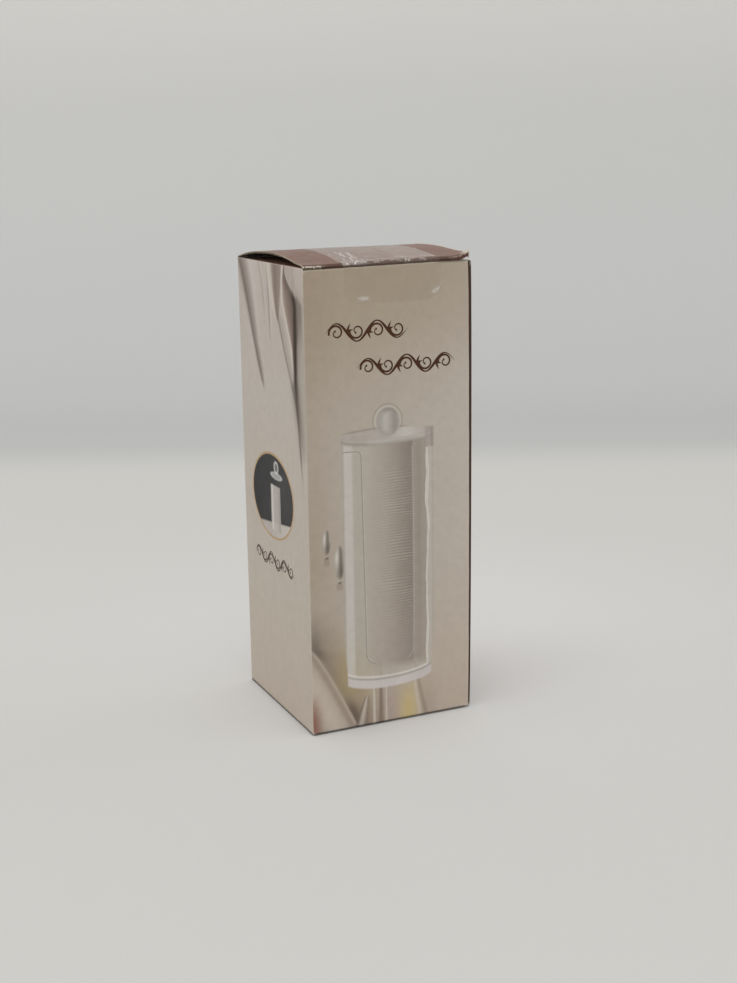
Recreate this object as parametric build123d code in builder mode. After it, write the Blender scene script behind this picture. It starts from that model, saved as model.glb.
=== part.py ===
from build123d import *
import math
import os

# A printed folding carton with a tuck closure at each end, and inside it the cotton pad organizer that is
# sold in it: a clear tube with an open slot down its front, on a base, under a lid with a knob.
# Sizes are in millimetres. +Z is up, the printed front faces -Y, and the origin is the middle of the face
# that the carton stands on.

# Carton
carton_w = 77.0             # outside, across the front
carton_d = 77.0             # outside, front to back
side_h = 200.0              # upper creases of the side panels
board = 0.45                # folding boxboard
crease_r = 0.6              # outer rounding of the three folded upright corners
seam_crease_r = 1.2         # of the fourth, where the glue flap turns in behind the front panel
front_edge_gap = 0.3        # front panel's raw upper edge, below the side panels' creases
setback_top = 2.2           # front panel's raw glued edge, short of the right side, at its top
setback_bottom = 1.6        # and at its bottom, because it is glued on slightly askew

# Glue flap behind the front panel
glue_flap_w = 13.0
glue_flap_end_gap = 2.0
glue_flap_taper = 4.0       # its free edge is this much shorter at each end than its crease
glue_line = 0.03            # adhesive between the flap and the front panel

# Lid panels with their tuck flaps, one set at each end
lid_rise = 4.0              # bow of the upper lid panel, which the flaps under it push up
lid_side_gap = 0.3          # its raw side edges, short of the carton's sides
flap_gap = 0.15             # between the dust flaps and the lid panel over them
tuck_l = 14.0               # depth of a tuck flap
tuck_lean = 11.0            # degrees that it leans inwards when closed
tuck_gap = 0.25             # behind the glue flap
tuck_side_gap = 0.6         # beside each side panel
tuck_corner_r = 7.0
slit_l = 8.0                # slit lock at each end of the tuck crease
slit_w = 0.8

# Dust flaps, two at each end
dust_l = 32.0               # reach inwards from the side panel
dust_rear_gap = 1.6
dust_rear_taper = 31.0      # degrees, so that the flap follows the lid panel up without touching it
dust_front_gap = 3.2
dust_shoulder = 6.0         # square stretch of the front edge, which the slit lock catches
dust_front_taper = 15.0     # degrees
dust_corner_r = 3.0

# Clear film seal over the upper tuck crease
film = 0.1
film_glue = 0.02
seal_w = 44.0
seal_x = 1.6                # its middle, right of the carton's middle
seal_top_l = 54.0           # reach over the lid panel
seal_tab_l = 15.0           # reach down the front panel
seal_corner_r = 7.0
seal_fold_gap = 0.25        # left between its two halves and the crease that they meet at

# Organizer
play = 3.55                 # between its rims and the carton, all round
headroom = 3.0              # between its knob and the upper dust flaps
rim_overhang = 2.0          # of base and lid past the tube
rim_bevel = 0.8             # polished bevel of their edges
tube_wall = 2.0
base_t = 8.0
base_boss_t = 3.0           # raised disc that centres the tube
base_boss_fit = 0.1
foot_ring_w = 5.0
foot_recess = 0.6
slot_w = 37.0
slot_sill = 8.0             # tube left standing below the slot
slot_bottom_r = 6.0
slot_mouth_r = 4.0          # outward rounding where the slot opens at the tube's top
lid_t = 5.0
spigot_t = 5.0              # ring under the lid that drops into the tube
spigot_wall = 3.0
spigot_fit = 0.3
knob_d = 19.6
knob_neck_d = 8.0
knob_neck_h = 2.0
knob_flat_d = 8.0           # polished flat on top of the ball
stud_d = 6.0                # pegs the knob into the lid
stud_l = 2.5
stud_fit = 0.05

# Places that several pieces share
half_w = carton_w / 2
half_d = carton_d / 2
dust_bottom_z = board + flap_gap                    # outer face of the lower dust flaps
lid_top_z = side_h + flap_gap + board               # upper lid panel's outer face, at its creases
front_top_z = side_h - front_edge_gap
glue_face_y = -half_d + board + glue_line           # outer face of the glue flap
tuck_crease_y = glue_face_y + board + tuck_gap      # outer line of both tuck creases
inner_w = carton_w - 2 * board
inner_d = carton_d - 2 * board
lean = math.radians(tuck_lean)

# Bow of the upper lid panel, a circle through both of its creases
lid_chord = half_d - tuck_crease_y
lid_mid_y = (half_d + tuck_crease_y) / 2
bow_r = (lid_chord**2 / 4 + lid_rise**2) / (2 * lid_rise)
bow_slope = math.asin(lid_chord / 2 / bow_r)
bow_centre_z = lid_top_z + lid_rise - bow_r

# Organizer, from the room inside the carton
organizer_z = dust_bottom_z + board                 # stands on the lower dust flaps
rim_d = min(inner_w, inner_d) - 2 * play
tube_d = rim_d - 2 * rim_overhang
bore_d = tube_d - 2 * tube_wall
ball_r = knob_d / 2
neck_bury = ball_r - math.sqrt(ball_r**2 - (knob_neck_d / 2) ** 2)
flat_drop = ball_r - math.sqrt(ball_r**2 - (knob_flat_d / 2) ** 2)
knob_h = knob_neck_h + knob_d - neck_bury - flat_drop
knob_z = side_h - board - headroom - knob_h         # upper face of the lid plate
lid_z = knob_z - lid_t
tube_z = organizer_z + base_t
tube_l = lid_z - tube_z


def outline(points):
    """Straight-sided face in the sketch that is open."""
    with BuildLine() as border:
        Polyline(*points, close=True)
    make_face(border.edges())


def mitre_tip(y, z, first, second):
    """Inner end of the mitre between two panels that leave the outer crease line (y, z) at two angles."""
    step = board / math.sin(abs(first - second) / 2)
    middle = (first + second) / 2
    return (y + step * math.cos(middle), z + step * math.sin(middle))


# Mitres of the front and rear creases, with angles in the YZ plane counted from +Y towards +Z
down = -math.pi / 2
up = math.pi / 2
top_tuck_way = down + lean
bottom_tuck_way = up - lean
top_rear_tip = mitre_tip(half_d, lid_top_z, math.pi - bow_slope, math.pi - down)
top_front_tip = mitre_tip(tuck_crease_y, lid_top_z, bow_slope, top_tuck_way)
bottom_rear_tip = mitre_tip(half_d, 0, up, math.pi)
bottom_front_tip = mitre_tip(tuck_crease_y, 0, 0, bottom_tuck_way)


def wall(points, bottom_z, top_z):
    """Upright panel of the sleeve, from its plan section, with the carton's outer corners rounded."""
    with BuildSketch(Plane.XY.offset(bottom_z)) as section:
        outline(points)
        RectangleRounded(carton_w, carton_d, crease_r, mode=Mode.INTERSECT)
    extrude(section.sketch, amount=top_z - bottom_z)


def mitre_side_ends(side):
    """Bevels the inner edges where a side panel folds into its two dust flaps."""
    outer = side * half_w
    inner = side * (half_w - board)
    with BuildSketch(Plane.XZ) as bevels:
        outline([(outer, side_h), (inner, side_h), (inner, side_h - board)])
        outline([(outer, dust_bottom_z), (inner, dust_bottom_z), (inner, dust_bottom_z + board)])
    extrude(bevels.sketch, amount=carton_d, both=True, mode=Mode.SUBTRACT)


# Sleeve
with BuildPart() as front_panel:
    wall(
        [
            (-half_w, -half_d),
            (half_w - setback_bottom, -half_d),
            (half_w - setback_bottom, -half_d + board),
            (-half_w + board, -half_d + board),
        ],
        dust_bottom_z,
        front_top_z,
    )
    with BuildSketch(Plane.XZ):
        outline([
            (half_w - setback_bottom, dust_bottom_z),
            (half_w, dust_bottom_z),
            (half_w, front_top_z),
            (half_w - setback_top, front_top_z),
        ])
    extrude(amount=carton_d, mode=Mode.SUBTRACT)

with BuildPart() as left_side_panel:
    wall(
        [
            (-half_w, -half_d),
            (-half_w, half_d),
            (-half_w + board, half_d - board),
            (-half_w + board, -half_d + board),
        ],
        dust_bottom_z,
        side_h,
    )
    mitre_side_ends(-1)

with BuildPart() as back_panel:
    wall(
        [
            (-half_w, half_d),
            (half_w, half_d),
            (half_w - board, half_d - board),
            (-half_w + board, half_d - board),
        ],
        0,
        lid_top_z,
    )
    with BuildSketch(Plane.YZ):
        outline([(half_d, lid_top_z), (half_d - 2 * board, lid_top_z), top_rear_tip])
        outline([top_rear_tip, (half_d - 2 * board, lid_top_z), (half_d - 2 * board, top_rear_tip[1])])
        outline([(half_d, 0), (half_d - board, 0), bottom_rear_tip])
    extrude(amount=carton_w, both=True, mode=Mode.SUBTRACT)

# The seam corner bends round one centre, and the glue flap takes over halfway round
bend_x = half_w - seam_crease_r
bend_y = glue_face_y + seam_crease_r
bend_inner_r = seam_crease_r - board


def on_bend(radius, angle):
    """Point of the seam corner's bend, with the angle counted from +X towards -Y."""
    turn = math.radians(angle)
    return (bend_x + radius * math.cos(turn), bend_y - radius * math.sin(turn))


with BuildPart() as right_side_panel:
    with BuildSketch(Plane.XY.offset(dust_bottom_z)):
        with BuildLine():
            Polyline(
                on_bend(bend_inner_r, 0),
                (half_w - board, half_d - board),
                (half_w, half_d),
                on_bend(seam_crease_r, 0),
            )
            ThreePointArc(*[on_bend(seam_crease_r, angle) for angle in (0, 22.5, 45)])
            Line(on_bend(seam_crease_r, 45), on_bend(bend_inner_r, 45))
            ThreePointArc(*[on_bend(bend_inner_r, angle) for angle in (45, 22.5, 0)])
        make_face()
        RectangleRounded(carton_w, carton_d, crease_r, mode=Mode.INTERSECT)
    extrude(amount=side_h - dust_bottom_z)
    mitre_side_ends(1)

with BuildPart() as glue_flap:
    flap_edge_x = half_w - glue_flap_w
    with BuildSketch(Plane.XY.offset(dust_bottom_z)):
        with BuildLine():
            ThreePointArc(*[on_bend(seam_crease_r, angle) for angle in (45, 67.5, 90)])
            Polyline(
                on_bend(seam_crease_r, 90),
                (flap_edge_x, glue_face_y),
                (flap_edge_x, glue_face_y + board),
                on_bend(bend_inner_r, 90),
            )
            ThreePointArc(*[on_bend(bend_inner_r, angle) for angle in (90, 67.5, 45)])
            Line(on_bend(bend_inner_r, 45), on_bend(seam_crease_r, 45))
        make_face()
    extrude(amount=side_h - dust_bottom_z)
    flap_low = dust_bottom_z + glue_flap_end_gap
    flap_high = side_h - glue_flap_end_gap
    with BuildSketch(Plane.XZ):
        outline([
            (half_w, flap_low),
            (bend_x, flap_low),
            (flap_edge_x, flap_low + glue_flap_taper),
            (flap_edge_x, flap_high - glue_flap_taper),
            (bend_x, flap_high),
            (half_w, flap_high),
        ])
    extrude(amount=carton_d, mode=Mode.INTERSECT)


# Upper lid panel, a bowed strip between its two mitres
def lid_strip():
    """Extrudes the open YZ sketch to the lid panels' width."""
    extrude(amount=half_w - lid_side_gap, both=True)


with BuildPart() as top_lid_panel:
    crest_z = lid_top_z + lid_rise
    with BuildSketch(Plane.YZ):
        with BuildLine():
            ThreePointArc((tuck_crease_y, lid_top_z), (lid_mid_y, crest_z), (half_d, lid_top_z))
            Line((half_d, lid_top_z), top_rear_tip)
            ThreePointArc(top_rear_tip, (lid_mid_y, crest_z - board), top_front_tip)
            Line(top_front_tip, (tuck_crease_y, lid_top_z))
        make_face()
    lid_strip()

with BuildPart() as bottom_lid_panel:
    with BuildSketch(Plane.YZ):
        outline([(tuck_crease_y, 0), (half_d, 0), bottom_rear_tip, bottom_front_tip])
    lid_strip()


def tuck_flap(crease_z, way, tip):
    """Tuck flap that leaves the crease at an angle in the YZ plane, with rounded corners and slit locks."""
    along = (math.cos(way), math.sin(way))
    inward = (abs(math.sin(way)), -math.cos(way) * math.copysign(1, math.sin(way)))
    end = (tuck_crease_y + tuck_l * along[0], crease_z + tuck_l * along[1])
    end_inner = (end[0] + board * inward[0], end[1] + board * inward[1])
    flap_half_w = half_w - board - tuck_side_gap
    with BuildSketch(Plane.YZ) as section:
        outline([(tuck_crease_y, crease_z), end, end_inner, tip])
    extrude(section.sketch, amount=flap_half_w, both=True)
    free_corners = edges().filter_by(lambda edge: abs(edge.length - board) < 0.001)
    fillet(free_corners, tuck_corner_r)
    slit_z = crease_z + slit_w * math.copysign(1, along[1])
    with BuildSketch(Plane.XZ) as slits:
        for side in (-1, 1):
            slit_end = side * (flap_half_w - slit_l)
            outline([
                (slit_end, crease_z),
                (side * half_w, crease_z),
                (side * half_w, slit_z),
                (slit_end, slit_z),
            ])
    extrude(slits.sketch, amount=carton_d, mode=Mode.SUBTRACT)


with BuildPart() as top_tuck_flap:
    tuck_flap(lid_top_z, top_tuck_way, top_front_tip)

with BuildPart() as bottom_tuck_flap:
    tuck_flap(0, bottom_tuck_way, bottom_front_tip)


def dust_flap(side, outer_z, inward):
    """Dust flap of one side panel, with inward -1 at the upper end and +1 at the lower end."""
    front_y = -half_d + dust_front_gap
    rear_y = half_d - dust_rear_gap
    tip_front_y = front_y + (dust_l - dust_shoulder) * math.tan(math.radians(dust_front_taper))
    tip_rear_y = rear_y - dust_l * math.tan(math.radians(dust_rear_taper))
    crease_x = side * half_w
    tip_x = side * (half_w - dust_l)
    with BuildSketch(Plane.XY.offset(outer_z)) as plan:
        outline([
            (crease_x, front_y),
            (side * (half_w - dust_shoulder), front_y),
            (tip_x, tip_front_y),
            (tip_x, tip_rear_y),
            (crease_x, rear_y),
        ])
        fillet(plan.vertices().sort_by(lambda corner: abs(corner.X))[:2], dust_corner_r)
    extrude(plan.sketch, amount=inward * board)
    with BuildSketch(Plane.XZ) as bevel:
        outline([
            (crease_x, outer_z),
            (crease_x, outer_z + inward * board),
            (crease_x - side * board, outer_z + inward * board),
        ])
    extrude(bevel.sketch, amount=carton_d, both=True, mode=Mode.SUBTRACT)


with BuildPart() as top_left_dust_flap:
    dust_flap(-1, side_h, -1)

with BuildPart() as top_right_dust_flap:
    dust_flap(1, side_h, -1)

with BuildPart() as bottom_left_dust_flap:
    dust_flap(-1, dust_bottom_z, 1)

with BuildPart() as bottom_right_dust_flap:
    dust_flap(1, dust_bottom_z, 1)

# Film seal over the front fold: one half lies on the bowed lid panel, and the other crosses to the front
# panel and down it. The halves meet at the crease, so that each can follow its own panel.
seal_fold_turn = bow_slope - seal_fold_gap / bow_r
seal_end_turn = bow_slope - seal_top_l / bow_r


def on_bow(lift, turn):
    """Point at a height over the lid panel's outer face, at an angle forward of the top of its circle."""
    return (lid_mid_y - (bow_r + lift) * math.sin(turn), bow_centre_z + (bow_r + lift) * math.cos(turn))


with BuildPart() as seal_label_top:
    turns = (seal_end_turn, (seal_end_turn + seal_fold_turn) / 2, seal_fold_turn)
    under = [on_bow(film_glue, turn) for turn in turns]
    over = [on_bow(film_glue + film, turn) for turn in turns]
    with BuildSketch(Plane.YZ):
        with BuildLine():
            ThreePointArc(*under)
            Line(under[-1], over[-1])
            ThreePointArc(*reversed(over))
            Line(over[0], under[0])
        make_face()
    extrude(amount=carton_w, both=True)
    with BuildSketch():
        with Locations((seal_x, over[0][0])):
            RectangleRounded(seal_w, 2 * carton_d, seal_corner_r, align=(Align.CENTER, Align.MAX))
    extrude(amount=2 * side_h, mode=Mode.INTERSECT)

with BuildPart() as seal_label_tab:
    seal_tab_z = front_top_z - seal_tab_l
    tab_under_y = -half_d - film_glue
    tab_over_y = tab_under_y - film
    with BuildSketch(Plane.YZ.offset(seal_x)):
        outline([
            (tuck_crease_y - seal_fold_gap, lid_top_z),
            (tab_under_y, front_top_z),
            (tab_under_y, seal_tab_z),
            (tab_over_y, seal_tab_z),
            (tab_over_y, front_top_z),
            (tuck_crease_y - seal_fold_gap, lid_top_z + film),
        ])
    extrude(amount=seal_w / 2, both=True)
    tab_corners = edges().filter_by(lambda edge: abs(edge.length - film) < 0.001).group_by(Axis.Z)[0]
    fillet(tab_corners, seal_corner_r)

# Organizer: tube and base
with BuildPart() as organizer_tube:
    with BuildSketch(Plane.XY.offset(tube_z)):
        Circle(tube_d / 2)
        Circle(bore_d / 2, mode=Mode.SUBTRACT)
    extrude(amount=tube_l)
    with BuildSketch(Plane.XZ) as slot:
        with Locations((0, lid_z)):
            Rectangle(2 * tube_d, slot_mouth_r, align=(Align.CENTER, Align.MIN))
            Rectangle(slot_w, tube_l - slot_sill, align=(Align.CENTER, Align.MAX))
        slot_corners = slot.vertices().filter_by(lambda corner: abs(abs(corner.X) - slot_w / 2) < 0.001)
        fillet(slot_corners.group_by(Axis.Y)[0], slot_bottom_r)
        mouth_corners = slot.vertices().filter_by(lambda corner: abs(abs(corner.X) - slot_w / 2) < 0.001)
        fillet(mouth_corners.group_by(Axis.Y)[-1], slot_mouth_r)
    extrude(amount=tube_d, mode=Mode.SUBTRACT)

with BuildPart() as organizer_base:
    with BuildSketch(Plane.XY.offset(organizer_z)):
        Circle(rim_d / 2)
    extrude(amount=base_t)
    chamfer(edges().filter_by(GeomType.CIRCLE), rim_bevel)
    with BuildSketch(Plane.XY.offset(tube_z)):
        Circle(bore_d / 2 - base_boss_fit)
    extrude(amount=base_boss_t)
    with BuildSketch(Plane.XY.offset(organizer_z)):
        Circle(rim_d / 2 - foot_ring_w)
    extrude(amount=foot_recess, mode=Mode.SUBTRACT)

# Organizer: lid plate, spigot ring and knob
with BuildPart() as organizer_lid_plate:
    with BuildSketch(Plane.XY.offset(lid_z)):
        Circle(rim_d / 2)
    extrude(amount=lid_t)
    chamfer(edges().filter_by(GeomType.CIRCLE), rim_bevel)
    with BuildSketch(Plane.XY.offset(knob_z)):
        Circle(stud_d / 2 + stud_fit)
    extrude(amount=-stud_l - stud_fit, mode=Mode.SUBTRACT)

with BuildPart() as organizer_lid_spigot:
    spigot_r = bore_d / 2 - spigot_fit
    with BuildSketch(Plane.XY.offset(lid_z)):
        Circle(spigot_r)
        Circle(spigot_r - spigot_wall, mode=Mode.SUBTRACT)
    extrude(amount=-spigot_t)

with BuildPart() as organizer_knob:
    ball_z = knob_z + knob_neck_h + ball_r - neck_bury
    neck_top = (knob_neck_d / 2, knob_z + knob_neck_h)
    flat_edge = (knob_flat_d / 2, ball_z + ball_r - flat_drop)
    with BuildSketch(Plane.XZ):
        with BuildLine():
            ThreePointArc(neck_top, (ball_r, ball_z), flat_edge)
            Polyline(
                flat_edge,
                (0, flat_edge[1]),
                (0, knob_z - stud_l),
                (stud_d / 2, knob_z - stud_l),
                (stud_d / 2, knob_z),
                (knob_neck_d / 2, knob_z),
                neck_top,
            )
        make_face()
    revolve(axis=Axis.Z)

os.makedirs("parts", exist_ok=True)
pieces = {
    "front_panel": front_panel,
    "left_side_panel": left_side_panel,
    "back_panel": back_panel,
    "right_side_panel": right_side_panel,
    "glue_flap": glue_flap,
    "top_lid_panel": top_lid_panel,
    "top_tuck_flap": top_tuck_flap,
    "top_left_dust_flap": top_left_dust_flap,
    "top_right_dust_flap": top_right_dust_flap,
    "bottom_lid_panel": bottom_lid_panel,
    "bottom_tuck_flap": bottom_tuck_flap,
    "bottom_left_dust_flap": bottom_left_dust_flap,
    "bottom_right_dust_flap": bottom_right_dust_flap,
    "seal_label_top": seal_label_top,
    "seal_label_tab": seal_label_tab,
    "organizer_tube": organizer_tube,
    "organizer_base": organizer_base,
    "organizer_lid_plate": organizer_lid_plate,
    "organizer_lid_spigot": organizer_lid_spigot,
    "organizer_knob": organizer_knob,
}
for name, piece in pieces.items():
    piece.part.label = name
    export_step(piece.part, f"parts/{name}.step")
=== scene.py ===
import math

import bpy
import numpy as np
from mathutils import Matrix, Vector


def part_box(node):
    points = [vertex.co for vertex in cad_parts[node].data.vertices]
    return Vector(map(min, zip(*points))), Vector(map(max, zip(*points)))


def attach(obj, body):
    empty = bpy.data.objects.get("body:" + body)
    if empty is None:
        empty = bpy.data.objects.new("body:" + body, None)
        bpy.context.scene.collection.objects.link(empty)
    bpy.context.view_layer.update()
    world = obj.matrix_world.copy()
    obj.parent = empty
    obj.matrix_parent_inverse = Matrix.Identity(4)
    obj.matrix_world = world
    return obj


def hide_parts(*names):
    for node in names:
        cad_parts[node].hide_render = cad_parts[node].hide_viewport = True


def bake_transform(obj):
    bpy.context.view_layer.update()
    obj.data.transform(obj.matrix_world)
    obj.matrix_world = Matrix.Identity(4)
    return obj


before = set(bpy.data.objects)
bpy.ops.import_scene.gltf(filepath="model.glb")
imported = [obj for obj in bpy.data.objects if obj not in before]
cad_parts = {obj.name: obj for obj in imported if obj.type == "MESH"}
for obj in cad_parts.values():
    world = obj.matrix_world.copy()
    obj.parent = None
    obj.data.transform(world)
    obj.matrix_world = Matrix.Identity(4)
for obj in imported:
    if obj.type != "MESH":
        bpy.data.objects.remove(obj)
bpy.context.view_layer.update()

# A printed folding carton, worn at its lid, with a clear film seal over the lid's front fold and a clear
# pad organizer inside. Pieces are worked out in millimetres, in the row frame, and written in metres.
MM = 0.001


def corners(node):
    """Lowest and highest corner of a CAD node, in millimetres."""
    low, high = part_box(node)
    return np.array(low) / MM, np.array(high) / MM


# Sizes read from the frame
front_low, front_high = corners("front_panel")
left_high = corners("left_side_panel")[1]
lid_low, lid_high = corners("top_lid_panel")
back_high = corners("back_panel")[1]
flap_low, flap_high = corners("bottom_left_dust_flap")
tuck_high = corners("top_tuck_flap")[1]
glue_low, glue_high = corners("glue_flap")
film_low, film_high = corners("seal_label_top")
tab_low = corners("seal_label_tab")[0]
tube_low, tube_high = corners("organizer_tube")
base_low, base_high = corners("organizer_base")
plate_low, plate_high = corners("organizer_lid_plate")
spigot_low, spigot_high = corners("organizer_lid_spigot")
knob_high = corners("organizer_knob")[1]

HALF = -front_low[1]                     # half the carton's width and depth
SIDE_TOP = left_high[2]                  # creases of the upper dust flaps
SIDE_BOTTOM = front_low[2]               # raw lower edges of the sleeve
LID_Z = back_high[2]                     # creases of the upper lid panel
LID_SIDE = lid_high[0]
LID_RISE = lid_high[2] - LID_Z
TUCK_Y = lid_low[1]                      # both tuck creases
GLUE_Y = glue_low[1]                     # outer face of the glue flap
BOARD = flap_high[2] - flap_low[2]       # board thickness

# Sizes that the frame's boxes don't show
CREASE_R = 0.6
SEAM_R = 1.2
SETBACK_TOP = 2.2                        # front panel's raw edge, short of the right side
SETBACK_BOTTOM = 1.6
GLUE_TAPER = 4.0
TUCK_LEAN = math.radians(11)
TUCK_L = 14.0
TUCK_R = 7.0
SLIT_L = 8.0
SLIT_W = 0.8
DUST_L = 32.0
DUST_SHOULDER = 6.0
DUST_R = 3.0
DUST_FRONT_TAPER = math.tan(math.radians(15))
DUST_REAR_TAPER = math.tan(math.radians(31))
FILM = 0.1
FILM_GLUE = 0.02
FILM_R = 7.0
FILM_L = 54.0                            # film on the lid, from the fold to its rear edge
TAB_L = 15.0                             # and down the front panel
TUBE_WALL = 2.0
SILL_H = 8.0                             # tube's closed ring under its slot
SLOT_HALF = 18.5
SLOT_R = 6.0
MOUTH_R = 4.0                            # round of the tube's free upper corners
RING_W, RING_H = 5.0, 0.6                # foot ring of the organizer's base
DISC_GAP = 0.1
BEVEL = 0.8
SPIGOT_W = 3.0
PEG_R, PEG_L = 3.0, 2.5                  # the knob's peg in the lid plate
NECK_R = 4.0
LAYER = 0.02                             # ink strokes stand this proud of the board
STACK = 0.003                            # and each further one over the last

# Bow of the upper lid panel: a circle through both of its creases
CHORD = HALF - TUCK_Y
BOW_MID = (HALF + TUCK_Y) / 2
BOW_R = (CHORD**2 / 4 + LID_RISE**2) / (2 * LID_RISE)
BOW_Z = LID_Z + LID_RISE - BOW_R
BOW_SLOPE = math.asin(CHORD / 2 / BOW_R)


def ramp(value, start, end):
    """Smooth step from 0 at start to 1 at end: 3t^2 - 2t^3 of the clipped share t."""
    t = np.clip((value - start) / (end - start), 0, 1)
    return t * t * (3 - 2 * t)


def bump(value, width):
    """Bell of height 1: exp of minus the square of value over width."""
    return np.exp(-((value / width) ** 2))


def tone(red, green, blue):
    """Linear colour of a printed tone given as 0 to 255 display values: ((c + 0.055) / 1.055)^2.4."""
    share = np.array([red, green, blue]) / 255
    return np.where(share <= 0.04045, share / 12.92, ((share + 0.055) / 1.055) ** 2.4)


def quarter(radius, past):
    """How far a quarter circle has drawn an edge in, at a distance past its start."""
    return radius - np.sqrt(np.maximum(radius**2 - np.maximum(past, 0) ** 2, 0))


def wander(length, scale, seed):
    """Smooth random line: a sum of five sines, each of half the last one's wavelength and weight."""
    draw = np.random.default_rng(int(seed))
    line = np.zeros_like(length)
    for octave in range(5):
        line += 0.5**octave * np.sin(2**octave * length / scale * 2 * math.pi + draw.uniform(0, 6.28))
    return line / 1.6


# Materials


class Paint:
    """A new node material: add() makes a node and sets its values, link() joins two sockets, and feed() does
    either for an input of its main shader."""

    def __init__(self, name):
        self.material = bpy.data.materials.new(name)
        self.material.use_nodes = True
        self.tree = self.material.node_tree
        self.shader = self.tree.nodes["Principled BSDF"]
        self.output = self.tree.nodes["Material Output"]

    def add(self, kind, **values):
        """Adds a node. The named properties are set on it, and all other values go to its inputs."""
        node = self.tree.nodes.new("ShaderNode" + kind)
        for key, value in values.items():
            if key in ("operation", "data_type", "blend_type", "attribute_name", "bands_direction",
                       "wave_type", "feature", "noise_dimensions"):
                setattr(node, key, value)
            else:
                node.inputs[key.replace("_", " ")].default_value = value
        return node

    def link(self, start, end):
        """Joins an output to an input."""
        self.tree.links.new(start, end)

    def give(self, socket, value):
        """Links another socket to an input, or sets it: a number, or a colour as three linear values."""
        if isinstance(value, bpy.types.NodeSocket):
            self.link(value, socket)
        elif isinstance(value, (int, float)):
            socket.default_value = value
        else:
            socket.default_value = (*[float(v) for v in value], 1.0)

    def feed(self, name, value):
        """Sets or links an input of the main shader."""
        self.give(self.shader.inputs[name], value)

    def noise(self, scale, detail=3.0, roughness=0.5, stretch=(1, 1, 1)):
        """Noise on Object coordinates, with scale as features per millimetre."""
        place = self.add("TexCoord")
        mapping = self.add("Mapping", Scale=stretch)
        texture = self.add("TexNoise", Scale=scale / MM, Detail=detail, Roughness=roughness)
        self.link(place.outputs["Object"], mapping.inputs["Vector"])
        self.link(mapping.outputs["Vector"], texture.inputs["Vector"])
        return texture.outputs["Fac"]

    def maths(self, operation, first, second=0.0, clamp=False):
        """One step of arithmetic on two values or sockets."""
        node = self.add("Math", operation=operation)
        node.use_clamp = clamp
        for socket, value in zip(node.inputs, (first, second)):
            self.give(socket, value)
        return node.outputs[0]

    def span(self, value, low, high, to_low=0.0, to_high=1.0):
        """Maps value from low..high to to_low..to_high, clamped."""
        node = self.add("MapRange", From_Min=low, From_Max=high, To_Min=to_low, To_Max=to_high)
        self.link(value, node.inputs["Value"])
        return node.outputs["Result"]

    def mix(self, share, first, second, blend_type="MIX"):
        """Two colours as one: first + share (second - first), or what another blend type puts for second."""
        node = self.add("Mix", data_type="RGBA", blend_type=blend_type)
        for name, value in (("Factor_Float", share), ("A_Color", first), ("B_Color", second)):
            self.give(next(s for s in node.inputs if s.identifier == name), value)
        return next(s for s in node.outputs if s.identifier == "Result_Color")

    def mix_shaders(self, share, first, second):
        """Two shaders as one, with the second's share."""
        node = self.add("MixShader")
        for socket, value in zip(node.inputs, (share, first, second)):
            self.link(value, socket)
        return node.outputs[0]

    def relief(self, height, distance, strength=1.0):
        """Small relief from a height, with its full distance in millimetres."""
        node = self.add("Bump", Strength=strength, Distance=distance * MM)
        self.link(height, node.inputs["Height"])
        self.feed("Normal", node.outputs["Normal"])


def printed_board(name, fine_lines=False, gloss=0.5):
    """Varnished print: the ink attribute's colour with faint press mottle, and pale board where its alpha,
    the wear, meets a patchy noise. Dark ink takes less of the gloss. Fine lines lie where the pads attribute
    asks for them."""
    paint = Paint(name)
    ink = paint.add("Attribute", attribute_name="ink")
    mottle = paint.span(paint.noise(0.35, 6), 0.3, 0.7, 0.965, 1.035)
    colour = paint.mix(1.0, ink.outputs["Color"], mottle, "MULTIPLY")
    if fine_lines:
        mask = paint.add("Attribute", attribute_name="pads")
        place = paint.add("TexCoord")
        stretch = paint.add("Mapping", Scale=(0.2, 1, 1))
        wave = paint.add("TexWave", wave_type="BANDS", bands_direction="Z", Scale=0.25 / MM,
                         Distortion=7.0, Detail=3.0, Detail_Scale=0.45)
        paint.link(place.outputs["Object"], stretch.inputs["Vector"])
        paint.link(stretch.outputs["Vector"], wave.inputs["Vector"])
        patchy = paint.maths("MULTIPLY", mask.outputs["Fac"],
                             paint.span(paint.noise(0.11, 3, 0.6, (1, 1, 1.6)), 0.38, 0.6, 0.25, 1.35))
        lines = paint.maths("MULTIPLY", paint.span(wave.outputs["Fac"], 0.15, 0.95), patchy)
        gaps = paint.maths("MULTIPLY", paint.span(wave.outputs["Fac"], 0.45, 0.0), patchy)
        colour = paint.mix(lines, colour, tone(200, 190, 178))
        colour = paint.mix(gaps, colour, tone(106, 96, 86))
    worn = paint.maths("MULTIPLY", ink.outputs["Alpha"], paint.span(paint.noise(1.6, 5, 0.7), 0.42, 0.6))
    colour = paint.mix(worn, colour, tone(214, 205, 192))
    paint.feed("Base Color", colour)
    sheen = paint.maths("ADD", paint.span(paint.noise(0.12, 4), 0.3, 0.7, 0.40, 0.50),
                        paint.maths("MULTIPLY", worn, 0.35))
    paint.feed("Roughness", sheen)
    paint.feed("Specular IOR Level", paint.span(ink.outputs["Color"], 0.0, 0.12, 0.12 * gloss, gloss))
    paint.relief(paint.noise(2.2, 4, 0.6), 0.012, 0.5)
    return paint.material


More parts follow.
